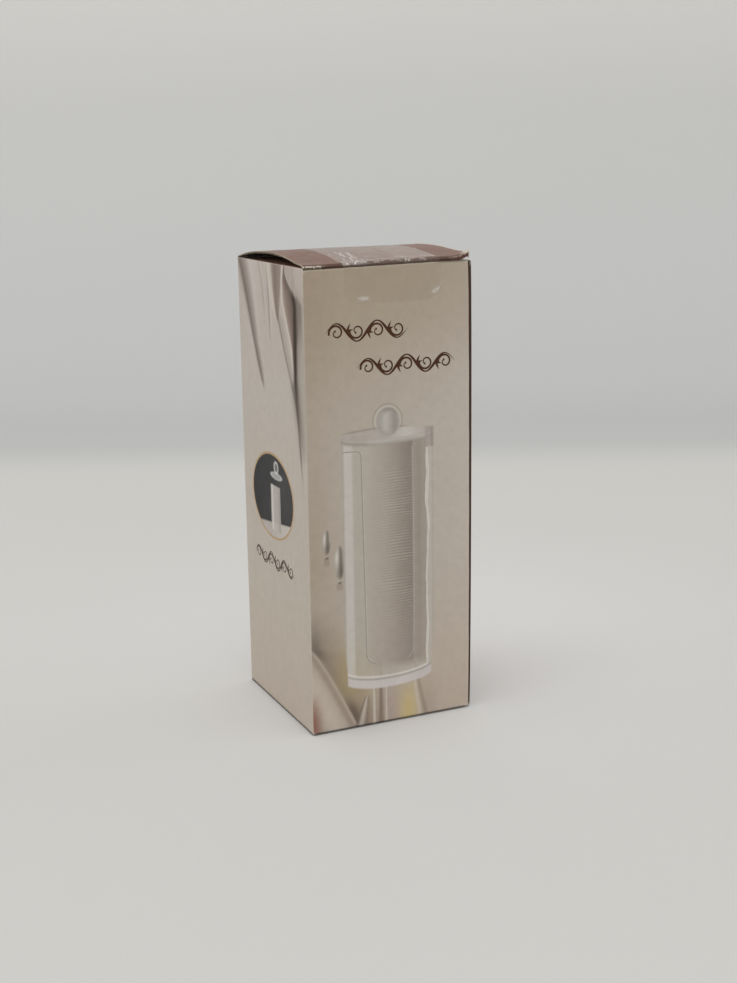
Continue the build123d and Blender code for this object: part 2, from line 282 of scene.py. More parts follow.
def brown_board(name):
    """Solid brown print: a warm brown with darker and paler clouds, times the ink attribute's colour, which
    holds painted shade along folds and bends, and rubbed to pale fibres by the wear.
    """
    paint = Paint(name)
    wear = paint.add("Attribute", attribute_name="ink")
    clouds = paint.noise(0.09, 6, 0.6)
    colour = paint.mix(paint.span(clouds, 0.3, 0.7), tone(120, 87, 73), tone(129, 95, 80))
    specks = paint.span(paint.noise(1.1, 6, 0.65), 0.62, 0.72)
    colour = paint.mix(paint.maths("MULTIPLY", specks, 0.25), colour, tone(150, 124, 110))
    # Painted shade: the attribute's colour darkens the brown, and its gloss below, along folds and bends.
    colour = paint.mix(1.0, colour, wear.outputs["Color"], "MULTIPLY")
    worn = paint.maths("MULTIPLY", wear.outputs["Alpha"], paint.span(paint.noise(1.3, 5, 0.7), 0.40, 0.58))
    colour = paint.mix(worn, colour, tone(205, 192, 176))
    paint.feed("Base Color", colour)
    sheen = paint.maths("ADD", paint.span(paint.noise(0.2, 4), 0.3, 0.7, 0.40, 0.52),
                        paint.maths("MULTIPLY", worn, 0.3))
    paint.feed("Roughness", sheen)
    paint.feed("Specular IOR Level", paint.maths("MULTIPLY", wear.outputs["Color"], 0.5))
    paint.relief(paint.noise(1.8, 5, 0.6), 0.02, 0.6)
    return paint.material


def fibre_board(name, pale, dark, grain):
    """Uncoated board: two tones mixed by stretched fibre noise, with a fibrous relief."""
    paint = Paint(name)
    fibres = paint.noise(grain, 6, 0.65, (1, 1, 0.35))
    colour = paint.mix(paint.span(fibres, 0.35, 0.65), tone(*dark), tone(*pale))
    flecks = paint.span(paint.noise(grain * 1.7, 3, 0.5, (0.3, 1, 1)), 0.66, 0.72)
    colour = paint.mix(paint.maths("MULTIPLY", flecks, 0.5), colour, tone(*[v * 0.7 for v in dark]))
    paint.feed("Base Color", colour)
    paint.feed("Roughness", 0.88)
    paint.relief(fibres, 0.03, 0.8)
    return paint.material


def clear_film(name):
    """Thin film: see-through, with gloss that grows as the fifth power of the slant, and a milky share where
    the haze attribute says that it is wrinkled or holds air."""
    paint = Paint(name)
    haze = paint.add("Attribute", attribute_name="haze")
    clear = paint.add("BsdfTransparent", Color=(0.985, 0.98, 0.97, 1))
    for name, value in (("Base Color", (0.80, 0.735, 0.675)), ("Roughness", 0.3),
                        ("Specular IOR Level", 0.14), ("IOR", 1.5)):
        paint.feed(name, value)
    gloss = paint.add("BsdfGlossy", Color=(1, 1, 1, 1), Roughness=0.14)
    facing = paint.add("LayerWeight", Blend=0.5)
    slant = paint.maths("POWER", facing.outputs["Facing"], 5.0)
    shine = paint.maths("ADD", paint.maths("MULTIPLY", slant, 0.2), 0.012)
    sheet = paint.mix_shaders(shine, clear.outputs[0], gloss.outputs[0])
    cloudy = paint.maths("MULTIPLY", haze.outputs["Fac"],
                         paint.span(paint.noise(0.5, 5, 0.6), 0.3, 0.7, 0.6, 1.25), clamp=True)
    whole = paint.mix_shaders(cloudy, sheet, paint.shader.outputs[0])
    paint.link(whole, paint.output.inputs["Surface"])
    return paint.material


def clear_acrylic(name):
    """Polished clear acrylic: full transmission, faint moulding waviness in its roughness."""
    paint = Paint(name)
    paint.feed("Base Color", (0.955, 0.965, 0.96))
    paint.feed("Transmission Weight", 1.0)
    paint.feed("IOR", 1.49)
    paint.feed("Roughness", paint.span(paint.noise(0.08, 4), 0.3, 0.7, 0.02, 0.07))
    return paint.material


printed_front = printed_board("printed_front", fine_lines=True)
printed_side = printed_board("printed_side", gloss=0.3)
stroke_ink = printed_board("stroke_ink", gloss=0.3)
brown_print = brown_board("brown_print")
inner_board = fibre_board("inner_grey_board", (176, 170, 160), (150, 144, 134), 0.9)
cut_edge = fibre_board("cut_board_edge", (166, 154, 132), (112, 102, 86), 2.2)
# Painted shade: the lower lid's edges are near black, for the dark line under the walls.
low_edge = fibre_board("lower_edge_painted_shade", (58, 46, 38), (36, 28, 24), 2.5)
lip_brown = fibre_board("folded_lip_brown", (104, 72, 60), (74, 50, 42), 1.2)
olive_fibre = fibre_board("torn_olive_fibre", (122, 110, 90), (72, 62, 49), 3.0)
torn_fibre = fibre_board("torn_pale_fibre", (226, 218, 204), (190, 178, 160), 3.0)
film_clear = clear_film("film_clear")
acrylic = clear_acrylic("acrylic_clear")
FRONT_PRINT = [printed_front, inner_board, cut_edge]     # a sheet's face, back and edge
SIDE_PRINT = [printed_side, inner_board, cut_edge]
BROWN_PRINT = [brown_print, inner_board, cut_edge]

# Meshes

FACE, BACK, EDGE = 0, 1, 2


def points_at(*coordinates):
    """Grid of points from coordinates that are broadcast to one shape."""
    return np.stack(np.broadcast_arrays(*coordinates), -1)


def quads(a, b, c, d):
    """Faces from four arrays of point numbers."""
    return np.stack([a, b, c, d], -1).reshape(-1, 4)


def shell(o, i, first=0):
    """Faces of a closed thin sheet between two grids of point numbers: the outer grid, the inner grid, then
    the four rims that join their borders. The upright rims start at row first."""
    return [
        quads(o[:-1, :-1], o[:-1, 1:], o[1:, 1:], o[1:, :-1]),
        quads(i[:-1, :-1], i[1:, :-1], i[1:, 1:], i[:-1, 1:]),
        quads(i[0, :-1], i[0, 1:], o[0, 1:], o[0, :-1]),
        quads(o[-1, :-1], o[-1, 1:], i[-1, 1:], i[-1, :-1]),
        quads(o[first:-1, 0], o[first + 1:, 0], i[first + 1:, 0], i[first:-1, 0]),
        quads(i[first:-1, -1], i[first + 1:, -1], o[first + 1:, -1], o[first:-1, -1]),
    ]


def sheet(outer, inner):
    """Closed thin sheet between two grids of points: (points, faces, slots). Columns times rows point out of
    the outer grid."""
    rows, cols = outer.shape[:2]
    o = np.arange(rows * cols).reshape(rows, cols)
    faces = shell(o, o + rows * cols)
    slots = np.repeat([FACE, BACK, EDGE, EDGE, EDGE, EDGE], [len(f) for f in faces])
    points = np.concatenate([outer.reshape(-1, 3), inner.reshape(-1, 3)])
    return points, [f for part in faces for f in part.tolist()], slots


def slab(outer, inner_border):
    """Closed sheet with a fine outer grid and one flat inner face. inner_border maps border points inward."""
    rows, cols = outer.shape[:2]
    o = np.arange(rows * cols).reshape(rows, cols)
    ring = np.concatenate([o[0], o[1:, -1], o[-1, -2::-1], o[-2:0:-1, 0]])
    inner = inner_border(outer.reshape(-1, 3)[ring])
    i = rows * cols + np.arange(len(ring))
    front = quads(o[:-1, :-1], o[:-1, 1:], o[1:, 1:], o[1:, :-1])
    rim = quads(i, np.roll(i, -1), np.roll(ring, -1), ring)
    faces = front.tolist() + rim.tolist() + [i[::-1].tolist()]
    slots = np.repeat([FACE, EDGE, BACK], [len(front), len(rim), 1])
    return np.concatenate([outer.reshape(-1, 3), inner]), faces, slots


def join(parts):
    """Several (points, faces, slots) as one."""
    points, faces, slots, start = [], [], [], 0
    for part_points, part_faces, part_slots in parts:
        points.append(part_points)
        faces += [[index + start for index in face] for face in part_faces]
        slots.append(part_slots)
        start += len(part_points)
    return np.concatenate(points), faces, np.concatenate(slots)


def piece(name, solid, materials, node, slot_name, body=None, crease=None, **attributes):
    """Makes the mesh object from (points in mm, faces, slots). It rides with its body, or, given a crease,
    keeps its place baked into its points.
    """
    points, faces, slots = solid
    mesh = bpy.data.meshes.new(name)
    mesh.from_pydata((points * MM).tolist(), [], faces)
    for material in materials:
        mesh.materials.append(material)
    mesh.polygons.foreach_set("material_index", np.minimum(slots, len(materials) - 1).astype(np.int32))
    mesh.polygons.foreach_set("use_smooth", np.ones(len(faces), bool))
    for key, values in attributes.items():
        whole = np.zeros((len(points),) + values.shape[1:])
        whole[:len(values)] = values
        if values.ndim == 2:
            whole[len(values):] = values.mean(0)
            whole[len(values):, 3] = 0
            mesh.attributes.new(key, "FLOAT_COLOR", "POINT").data.foreach_set("color", whole.ravel())
        else:
            mesh.attributes.new(key, "FLOAT", "POINT").data.foreach_set("value", whole.ravel())
    mesh.set_sharp_from_angle(angle=math.radians(32))
    mesh.validate()
    thing = bpy.data.objects.new(name, mesh)
    bpy.context.scene.collection.objects.link(thing)
    if crease:
        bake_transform(thing)
    else:
        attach(thing, body)
    if node:
        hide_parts(*([node] if isinstance(node, str) else node))
    return thing


# Walls. A wall's own coordinates are along (from its middle, rightwards seen from outside), depth (inwards
# from its outer face) and z. Each is turned to its side of the carton.

WAYS = {
    "front": lambda a, d, z: (a, d - HALF, z),
    "left": lambda a, d, z: (d - HALF, -a, z),
    "back": lambda a, d, z: (-a, HALF - d, z),
    "right": lambda a, d, z: (HALF - d, a, z),
}


def on_wall(way, along, depth, z):
    """Points given in a wall's own coordinates."""
    return points_at(*WAYS[way](along, depth, z))


def creased(start, end, step, round_start, round_end):
    """Positions along a wall and their depth: flat, with the outer half of a quarter bend at a rounded
    end."""
    bend = np.linspace(0, math.pi / 4, 6)[1:]
    flat_start = start + CREASE_R if round_start else start
    flat_end = end - CREASE_R if round_end else end
    along = np.linspace(flat_start, flat_end, max(2, round((flat_end - flat_start) / step) + 1))
    depth = np.zeros_like(along)
    if round_start:
        along = np.concatenate([(flat_start - CREASE_R * np.sin(bend))[::-1], along])
        depth = np.concatenate([(CREASE_R * (1 - np.cos(bend)))[::-1], depth])
    if round_end:
        along = np.concatenate([along, flat_end + CREASE_R * np.sin(bend)])
        depth = np.concatenate([depth, CREASE_R * (1 - np.cos(bend))])
    return along, depth


def ground(places, *display):
    """One tone at every place of a grid, ready to be painted over."""
    return np.full(places.shape + (3,), tone(*display))


def lay(colour, share, *paint):
    """Paints over colours in place: each moves by its share towards the paint. That is one tone as three
    display values, or an array of linear colours."""
    target = tone(*paint) if len(paint) == 3 else paint[0]
    colour += (target - colour) * np.clip(share, 0, 1)[..., None]
    return colour


PALE = tone(206, 196, 182)
DUSK = tone(124, 105, 91)
HUSK = tone(154, 137, 124)
GLOW = tone(196, 176, 120)
BROWN = tone(72, 45, 31)


def sheen_at(t, sheen):
    """Colours and strengths at t along a list of (t, tone, strength), joined by straight lines."""
    stops, tones, strengths = zip(*sheen)
    colours = [np.interp(t, stops, [one[channel] for one in tones]) for channel in range(3)]
    return np.stack(colours, -1), np.interp(t, stops, strengths)


def fold(colour, a, z, root, tip, bend, width, sheen):
    """Lays one satin fold over colours. Its middle runs from its root to its tip, bowed by bend as a
    parabola, and its half width shrinks as the 0.6th power towards the tip. Its sheen runs from t = -1 to 1
    across."""
    (a_root, z_root), (a_tip, z_tip) = root, tip
    share = np.clip((z - z_tip) / (z_root - z_tip), 0, 1)
    middle = a_tip + (a_root - a_tip) * share + bend * share * (1 - share)
    fold_tone, strength = sheen_at((a - middle) / (width * share**0.6 + 0.1), sheen)
    lay(colour, strength * ramp(share, 0, 0.1), fold_tone)


def satin_line(points, z):
    """Place along the wall of a satin edge at z: straight runs between its (a, z) points from the top down,
    smoothed by a moving average with raised-cosine weights."""
    heights = np.arange(80, 220, 0.5)
    places, levels = zip(*points[::-1])
    run = np.interp(heights, levels, places)
    weights = np.hanning(15)[1:-1]
    run = np.convolve(np.pad(run, 6, mode="edge"), weights / weights.sum(), "valid")
    return np.interp(z, heights, run)


def satin_band(colour, a, z, near, far, sheen, fade=6.0):
    """Lays a band of satin between two edges. Its sheen runs from t = 0 to 1 across, and the band fades out
    above its lower tip."""
    start, end = satin_line(near, z), satin_line(far, z)
    band_tone, strength = sheen_at((a - start) / np.maximum(end - start, 0.3), sheen)
    tip = max(near[-1][1], far[-1][1])
    lay(colour, strength * ramp(z, tip, tip + fade), band_tone)


def edge_wear(a, z, a_low, a_high, z_low, z_high):
    """Wear, from 0 to 1: light along the upright edges, stronger along the top and at the corners."""
    sides = np.minimum(a - a_low, a_high - a)
    ends = np.minimum(z - z_low, z_high - z)
    return 0.07 * bump(sides, 0.3) + 0.6 * bump(z_high - z, 0.35) + 0.8 * bump(np.hypot(sides, ends), 1.2)


def foot_painted_shade(colour, z, z_low):
    """Painted shade along a wall's foot: darkens its lowest three quarters of a millimetre."""
    return colour * (1 - 0.75 * ramp(z, z_low + 0.75, z_low + 0.35))[..., None]


def silver_pod(colour, a, z, middle, half):
    """Lays a soft silvery pod over colours: an upright ellipse, pale at its upper left and dark towards its
    lower right, with a thin light along its right side, a dark twig at its foot and a faint reflection."""
    across, up = (a - middle[0]) / half[0], (z - middle[1]) / half[1]
    body = ramp(np.hypot(across, up), 1.1, 0.84)
    lay(colour, 0.85 * body, 150, 142, 130)
    lay(colour, 0.95 * body * bump(np.hypot(across + 0.5, 0.75 * (up - 0.3)), 0.5), 208, 202, 194)
    lay(colour, 0.85 * body * bump(np.hypot(across - 0.25, 0.75 * (up + 0.45)), 0.55), 86, 76, 62)
    lay(colour, 0.7 * body * bump(across - 0.2, 0.28) * ramp(up, -0.3, 0.3), 98, 90, 80)
    lay(colour, 0.5 * body * bump(across - 0.85, 0.16) * ramp(up, -0.3, 0.2), 186, 178, 168)
    side, below = a - middle[0], z - middle[1] + half[1] + 1.5
    lay(colour, 0.9 * bump(below - 0.2 * side, 0.42) * ramp(np.abs(side), 1.2, 0.5), 74, 56, 40)
    shade = ramp(np.abs(side), 0.75 * half[0], 0.55 * half[0])
    shade = shade * ramp(below, -4.2, -2.4) * ramp(below, -0.2, -0.9)
    return lay(colour, 0.5 * shade, 138, 124, 108)


def front_ink(a, z):
    """The front print: cream ground, paler to the upper right, satin at the foot, and a picture of the clear
    organizer with its stack of pads."""
    across = (a + HALF) / (2 * HALF)
    up = z / SIDE_TOP
    colour = ground(a, 175, 163, 149)
    lay(colour, 0.85 * across**1.5 * ramp(up, 0.0, 0.4) * ramp(up, 1.02, 0.72), 191, 181, 170)
    lay(colour, 0.5 * across**2 * ramp(up, 0.4, 0.1), 194, 180, 163)
    lay(colour, 0.7 * (1 - across) ** 0.8 * ramp(up, 0.45, 1.0), 158, 142, 117)
    lay(colour, 0.4 * ramp(up, 0.65, 1.0), 162, 146, 122)
    lay(colour, 0.22 * (1 - ramp(up, 0.0, 0.25)), 184, 164, 146)
    lay(colour, 0.5 * ramp(across, 0.22, 0.0) * ramp(up, 0.15, 0.4), 156, 139, 117)
    lay(colour, 0.28 * bump((up - 0.66) / 0.17, 1), 188, 179, 170)
    # Satin sweeping in at the foot
    sweep = ramp(z, 62, 20) * ramp(a, 24, -30)
    lay(colour, 0.25 * sweep, 118, 103, 91)
    lay(colour, 0.75 * bump((a + 20) / 9, 1) * bump((z - 24) / 13, 1), GLOW)
    lay(colour, 0.9 * bump((a - 7) / 5.5, 1) * ramp(z, 24, 4), GLOW)
    lay(colour, 0.7 * bump((a + 1) / 4.5, 1) * ramp(z, 24, 4), 168, 150, 144)
    lay(colour, 0.35 * bump((a - 17) / 4, 1) * ramp(z, 26, 2), 150, 135, 122)
    # A broad petal of satin from the left edge to the foot, and the hollow behind its rim
    rim = -38.5 + 21.5 * (1 - np.clip(z / 39, 0, 1)) ** 0.85
    depth = rim - a
    petal = ramp(z, 40, 36) * ramp(depth, -0.3, 0.3)
    behind = (1 - petal) * ramp(z, 60, 34)
    lay(colour, 0.5 * behind * bump(depth + 7, 6.5), 134, 118, 96)
    dark_ends = 0.4 + 0.6 * ramp(z, 17, 8) + 0.5 * ramp(z, 31, 38)
    lay(colour, 0.85 * dark_ends * behind * bump(depth + 1.5, 3.4), 88, 72, 60)
    lay(colour, 0.85 * petal, 170, 156, 141)
    lay(colour, 0.5 * petal * bump(depth - 2.6, 1.7), DUSK)
    lay(colour, 0.2 * petal * bump(depth - 0.5, 0.45), PALE)
    lay(colour, 0.65 * petal * bump(depth - 9.5, 5.0), 198, 186, 172)
    lay(colour, 0.6 * petal * ramp(depth, 13, 21), 136, 112, 100)
    folds = [
        ((-17, -6), (-12.5, 15), 0, 5.0,
         [(-1, DUSK, 0), (-0.6, tone(112, 96, 84), 0.8), (-0.1, PALE, 0.7), (0.5, DUSK, 0.7), (1, DUSK, 0)]),
        ((-9.0, -30), (-9.6, 28), 0, 1.5, [(-1, PALE, 0), (0, PALE, 0.9), (1, PALE, 0)]),
        ((-6.0, -30), (-6.0, 28), 0, 2.4,
         [(-1, DUSK, 0), (-0.5, tone(118, 98, 86), 0.85), (0.4, DUSK, 0.7), (1, DUSK, 0)]),
        ((-3.4, -30), (-3.6, 28), 0, 0.9, [(-1, PALE, 0), (0, PALE, 0.85), (1, PALE, 0)]),
        ((18, -14), (9.5, 30), -2, 4.0, [(-1, PALE, 0), (-0.5, PALE, 0.5), (0.3, DUSK, 0.55), (1, DUSK, 0)]),
    ]
    for root, tip, bend, width, sheen in folds:
        fold(colour, a, z, root, tip, bend, width, sheen)
    lay(colour, 0.8 * ramp(a, -32.5, -38.5) * ramp(z, 23, 5), 132, 74, 60)
    silver_pod(colour, a, z, (-30.5, 85.5), (1.8, 5.4))
    silver_pod(colour, a, z, (-24.7, 76.0), (2.4, 7.4))
    return organizer_picture(colour, a, z)


# The organizer picture on the front
PIC_A = -1.6                             # middle of its tube
PIC_W = 21.5                             # half the tube's width
PIC_TOP = 127.0
PIC_DIP = 5.4                            # how far its round rims dip in the middle
PIC_SLOT = (-12.6, 9.6)


def bowl(a, foot, dip=PIC_DIP):
    """Height of a round rim drawn from above: it dips by dip in the middle, as a half ellipse."""
    return foot - dip * np.sqrt(np.clip(1 - ((a - PIC_A) / PIC_W) ** 2, 0, 1))


def organizer_picture(colour, a, z):
    """Soft shading of the clear tube, its pads, base, lid and knob."""
    t = (a - PIC_A) / PIC_W
    soft = 0.35
    half = PIC_W - 1.4 * ramp(z, 44, 22)
    inside = 1 - ramp(np.abs(a - PIC_A), half - soft, half + soft)

    def over(foot):
        """Share of a place that lies over a round rim."""
        return ramp(z - bowl(a, foot), -soft, soft)

    body = inside * over(26) * ramp(z, PIC_TOP + 1, PIC_TOP - 1)
    lay(colour, 0.6 * body, 181, 173, 162)
    lay(colour, 0.45 * body * ramp(t, -0.97, -0.93) * ramp(t, -0.74, -0.80), 210, 207, 203)
    lay(colour, 0.35 * body * bump(t + 0.64, 0.10), 170, 166, 154)
    lay(colour, 0.30 * body * bump(t - 0.93, 0.06), 192, 186, 177)
    lay(colour, 0.35 * body * bump(np.abs(t) - 0.985, 0.02), 150, 144, 134)
    # Pads behind the slot: warm grey, darker to the right, ending in a paler foot
    left, right = PIC_SLOT
    pads = body * ramp(a, left - 1.2, left + 6) * ramp(a, 17.3, 16.1) * ramp(z, 24, 29)
    lay(colour, 0.8 * pads, 172, 161, 149)
    lay(colour, 0.78 * pads * ramp(a, -8, 12) * (1 - 0.62 * ramp(a, right - 0.2, right + 0.8)), 118, 107, 97)
    lay(colour, 0.3 * pads * bump(a - right - 3.2, 1.6), 128, 117, 106)
    lay(colour, 0.35 * pads * ramp(z, 70, 24), 166, 153, 143)
    # Base: a pale thick disc with a dark line and a bright line along its upper rim
    rim = inside * over(22) * (1 - over(26.6))
    lay(colour, 0.9 * rim, 203, 195, 191)
    lay(colour, 0.35 * rim * ramp(t, 0.3, 1.0), 178, 171, 166)
    lay(colour, 0.65 * inside * bump(z - bowl(a, 26.2), 0.45), 130, 123, 113)
    lay(colour, 0.75 * inside * bump(z - bowl(a, 27.2), 0.5) * ramp(a, 17.6, 16.6), 222, 217, 209)
    # Lid: a low band under a flat ellipse, and a squared right end
    top = np.hypot((a - PIC_A) / (PIC_W + 0.3), (z - 129.8) / 2.5)
    sides = 1 - ramp(np.abs(a - PIC_A), PIC_W, PIC_W + 0.6)
    rim = bowl(a, 127.5, 2.4)
    band = sides * ramp(z, rim - 0.3, rim + 0.3) * ramp(z, 130.2, 129.6)
    lay(colour, 0.7 * band, 174, 166, 157)
    lay(colour, 0.6 * band * ramp(a, -9, -14), 146, 139, 124)
    lay(colour, 0.35 * band * bump(z - bowl(a, 129.2, 2.5), 0.6), 202, 196, 189)
    lay(colour, 0.35 * sides * bump(z - rim, 0.5), 146, 138, 128)
    lay(colour, 0.8 * ramp(top, 1.06, 0.94), 176, 167, 158)
    lay(colour, 0.6 * ramp(top, 1.0, 0.8) * bump(a - 7, 7), 204, 197, 189)
    lay(colour, 0.55 * bump((top - 1) * 8, 1.0) * ramp(z, 130.6, 131.6) * ramp(a, 9, 5), 116, 102, 88)
    end = ramp(a, 15.4, 16.6) * sides * ramp(z, 121.8, 122.8) * ramp(z, 131.4, 130.6)
    lay(colour, 0.7 * end, 160, 150, 142)
    lay(colour, 0.5 * end * bump(a - 19.2, 0.6), 132, 122, 112)
    # Knob: clear ball with a grey core, paler at its left, on a neck in shade
    ball = np.hypot((a - PIC_A) / 6.6, (z - 135.1) / 7.0)
    core = np.hypot((a - PIC_A - 0.3) / 5.5, (z - 134.6) / 6.3)
    lay(colour, 0.4 * ramp(ball, 1.03, 0.97) * ramp(z, 128.5, 130.5), 172, 164, 154)
    lay(colour, 0.55 * bump((ball - 1.0) * 6.8, 0.4) * ramp(z, 130, 133), 128, 118, 104)
    lay(colour, 0.65 * bump((ball - 0.91) * 6.8, 0.4) * ramp(z, 131, 134), 202, 195, 184)
    lay(colour, 0.65 * ramp(core, 1.05, 0.93), 160, 154, 146)
    lay(colour, 0.6 * ramp(core, 0.9, 0.4) * bump(a - PIC_A + 1.0, 2.2), 192, 188, 181)
    lay(colour, 0.55 * ramp(core, 1.0, 0.85) * bump(a - PIC_A - 3.4, 1.5), 138, 130, 123)
    return lay(colour, 0.5 * ramp(core, 1.0, 0.9) * bump(z - 140.0, 0.8), 132, 122, 109)


def pad_lines(a, z):
    """Strength of the pads' fine lines: full in the slot's right part, faint towards its left and its
    foot."""
    left, right = PIC_SLOT
    across = ramp(a, left + 3, right - 5) * ramp(a, right + 1.2, right - 0.4) + 0.18 * ramp(a, left, left + 3)
    return 0.21 * np.clip(across, 0, 1) * ramp(z, 28, 60) * ramp(z, 121, 112) * ramp(a, 14.5, 12.5)


# Edges of the left print's satin, as (along, z) points from the top down
LONG_FOLD = [(-37, 201), (-30.6, 188.7), (-25.2, 177.0), (-20.9, 167.1), (-15.5, 155.5), (-8.6, 143.0)]
LONG_FOLD_EDGE = [(-28, 201), (-21.8, 188), (-17.6, 174), (-15.2, 164.5), (-10.6, 154), (-7.6, 143.0)]
FIRST_PLEAT = [(-13, 201), (-8.6, 192), (-6.6, 182), (-5.6, 168)]
SECOND_PLEAT = [(-2.4, 201), (-0.8, 184), (0.4, 162)]
RIDGE = [(1.0, 201), (3.0, 190), (5.8, 181), (8.8, 175)]
BROWN_PLEAT_EDGE = [(15.2, 201), (13.6, 192), (12.2, 184), (10.4, 175)]
LONG_SHADOW = [(9.0, 180), (12.9, 171.5), (16.9, 163.1), (22.0, 153.9), (27.1, 145.2), (33.0, 128)]
RIM = [(17.0, 201), (14.6, 193), (15.2, 185), (19.6, 175.5), (24.2, 166.5), (26.8, 151)]
HOLLOW_EDGE = [(18.5, 196.5), (21.5, 193.2), (27.8, 189.2), (31.8, 186), (32.2, 174.1), (29.6, 165),
               (28.3, 149)]
CORE = [(25.5, 190.5), (27.0, 187.8), (29.2, 184.5), (28.8, 176.6), (28.5, 168.3), (28.2, 155.8),
        (27.7, 149.5), (28.7, 143.4), (30.0, 137.3), (32.5, 129.3), (35.0, 116)]
TAIL = [(27.0, 156), (28.3, 146), (31.0, 126), (34.0, 104)]
TAIL_EDGE = [(31.0, 156), (31.5, 146), (33.6, 126), (35.5, 104)]


def left_ink(a, z):
    """The left print: cream ground with satin hanging from the top, its folds ending in long tips."""
    up = z / SIDE_TOP
    colour = ground(a, 186, 176, 164)
    lay(colour, 0.5 * ramp(up, 0.45, 0.8), 190, 183, 174)
    lay(colour, 0.6 * ramp(up, 0.4, 0.0), 184, 170, 154)
    lay(colour, 0.5 * ramp(z, 136, 186), 184, 171, 163)
    lay(colour, 0.6 * ramp(z, 146, 180) * bump(a + 21, 8), 200, 190, 185)
    lay(colour, 0.6 * ramp(a, 30, 34) * ramp(z, 120, 140) * ramp(z, 196, 186), 162, 151, 138)
    # A long fold from the rear corner
    satin_band(colour, a, z, LONG_FOLD, LONG_FOLD_EDGE, [
        (-0.6, DUSK, 0), (-0.3, tone(136, 122, 110), 0.4), (0.0, tone(84, 70, 60), 0.85),
        (0.25, tone(116, 101, 91), 0.85), (0.6, tone(130, 116, 106), 0.75), (1.0, tone(150, 136, 126), 0.55),
        (1.5, PALE, 0)])
    # Two narrow pleats, then a broad brown one with a pale ridge before it
    for pleat, strength in ((FIRST_PLEAT, 0.35), (SECOND_PLEAT, 0.6)):
        offset = a - satin_line(pleat, z)
        fade = strength * ramp(z, pleat[-1][1], pleat[-1][1] + 16)
        lay(colour, fade * bump(offset, 0.9), 124, 110, 102)
        lay(colour, 0.8 * fade * bump(offset - 2.0, 1.1), 206, 196, 188)
    satin_band(colour, a, z, RIDGE, BROWN_PLEAT_EDGE, [
        (-0.5, PALE, 0), (-0.2, PALE, 0.75), (0.02, tone(196, 184, 172), 0.8),
        (0.22, tone(138, 120, 109), 0.9), (0.45, tone(112, 95, 84), 0.9), (0.6, tone(128, 110, 99), 0.9),
        (0.95, tone(142, 125, 114), 0.9), (1.1, PALE, 0)], 3.0)
    offset = a - satin_line(LONG_SHADOW, z)
    fade = ramp(z, 128, 140) * ramp(z, 181, 177)
    lay(colour, 0.5 * fade * bump(offset - 2.6, 2.6), 152, 140, 128)
    lay(colour, 0.75 * fade * bump(offset, 0.9), 112, 97, 86)
    # The hollow behind a pale rim, almost black at its far side
    satin_band(colour, a, z, RIM, HOLLOW_EDGE, [
        (-0.1, PALE, 0), (0.04, tone(166, 147, 136), 0.9), (0.3, tone(128, 108, 96), 0.95),
        (0.65, tone(98, 79, 67), 0.95), (0.95, tone(96, 80, 68), 0.9), (1.12, PALE, 0)], 2.0)
    lay(colour, 0.9 * bump(a - satin_line(RIM, z), 0.75) * ramp(z, 151, 156), 210, 199, 189)
    satin_band(colour, a, z, TAIL, TAIL_EDGE, [
        (-0.4, DUSK, 0), (0.0, tone(96, 80, 70), 0.85), (0.45, tone(120, 104, 93), 0.6), (1, HUSK, 0)], 20.0)
    # Its darkest line, soft towards the corner, runs on down as a shadow
    offset = a - satin_line(CORE, z)
    depth = ramp(z, 190.5, 186.5) * ramp(z, 116, 130) * (0.3 + 0.65 * ramp(z, 128, 162))
    lay(colour, 0.75 * depth * ramp(offset, -0.6, 0.6) * bump(offset, 4.2), 94, 80, 67)
    lay(colour, depth * bump(offset, 2.1 + 1.8 * ramp(z, 155, 149)), 50, 37, 27)
    # Satin over the hollow's upper end, darker towards the rim
    line = satin_line(HOLLOW_EDGE, z)
    over = ramp(a - line, 0.0, 1.4) * ramp(z, 185, 189) * ramp(a, 16.5, 19.0)
    lay(colour, 0.75 * over, 186, 173, 164)
    lay(colour, 0.5 * over * ramp(a - line, 12, 3), 160, 144, 134)
    # A shaded gusset between the hollow and the corner, its upper edge slanting down
    slant = z - 188.6 + 0.62 * (a - 31)
    gusset = ramp(slant, 0.7, -0.7) * ramp(z, 162, 182) * ramp(a, 29.5, 31.5) * ramp(a, 37.5, 35.5)
    return lay(colour, 0.75 * gusset, 113, 103, 92)


def grey(share):
    """The same share in all three channels."""
    return np.repeat(share[..., None], 3, -1)


def with_wear(colour, wear):
    """Colours and their wear as one list of four values a point."""
    return np.concatenate([colour, np.clip(wear, 0, 1)[..., None]], -1).reshape(-1, 4)


SEAM_SHADE = 0.28             # painted shade: how far the brown print is darkened along its outer bends
NICKS = ((180.5, 1.3), (151.0, 0.5), (96.5, 0.8), (41.0, 1.0), (20.5, 0.6))   # rubs: height, strength
FRONT_TOP = (-0.5, 0.6)       # the front's raw upper edge, against the CAD's, at its left and right end
RAW_FROM = 30.0               # its right border keeps its width through the board from here
LINE_STEP = 0.4
GRID_STEP = 0.5
BULGE = 0.8                   # the seam corner bellies out this far half way up


def seam_bulge(z):
    """Outward belly of the seam corner at z: half a sine from the foot to the top, to the power 0.32."""
    return BULGE * np.sin(math.pi * np.clip((z - SIDE_BOTTOM) / (SIDE_TOP - SIDE_BOTTOM), 0, 1)) ** 0.32


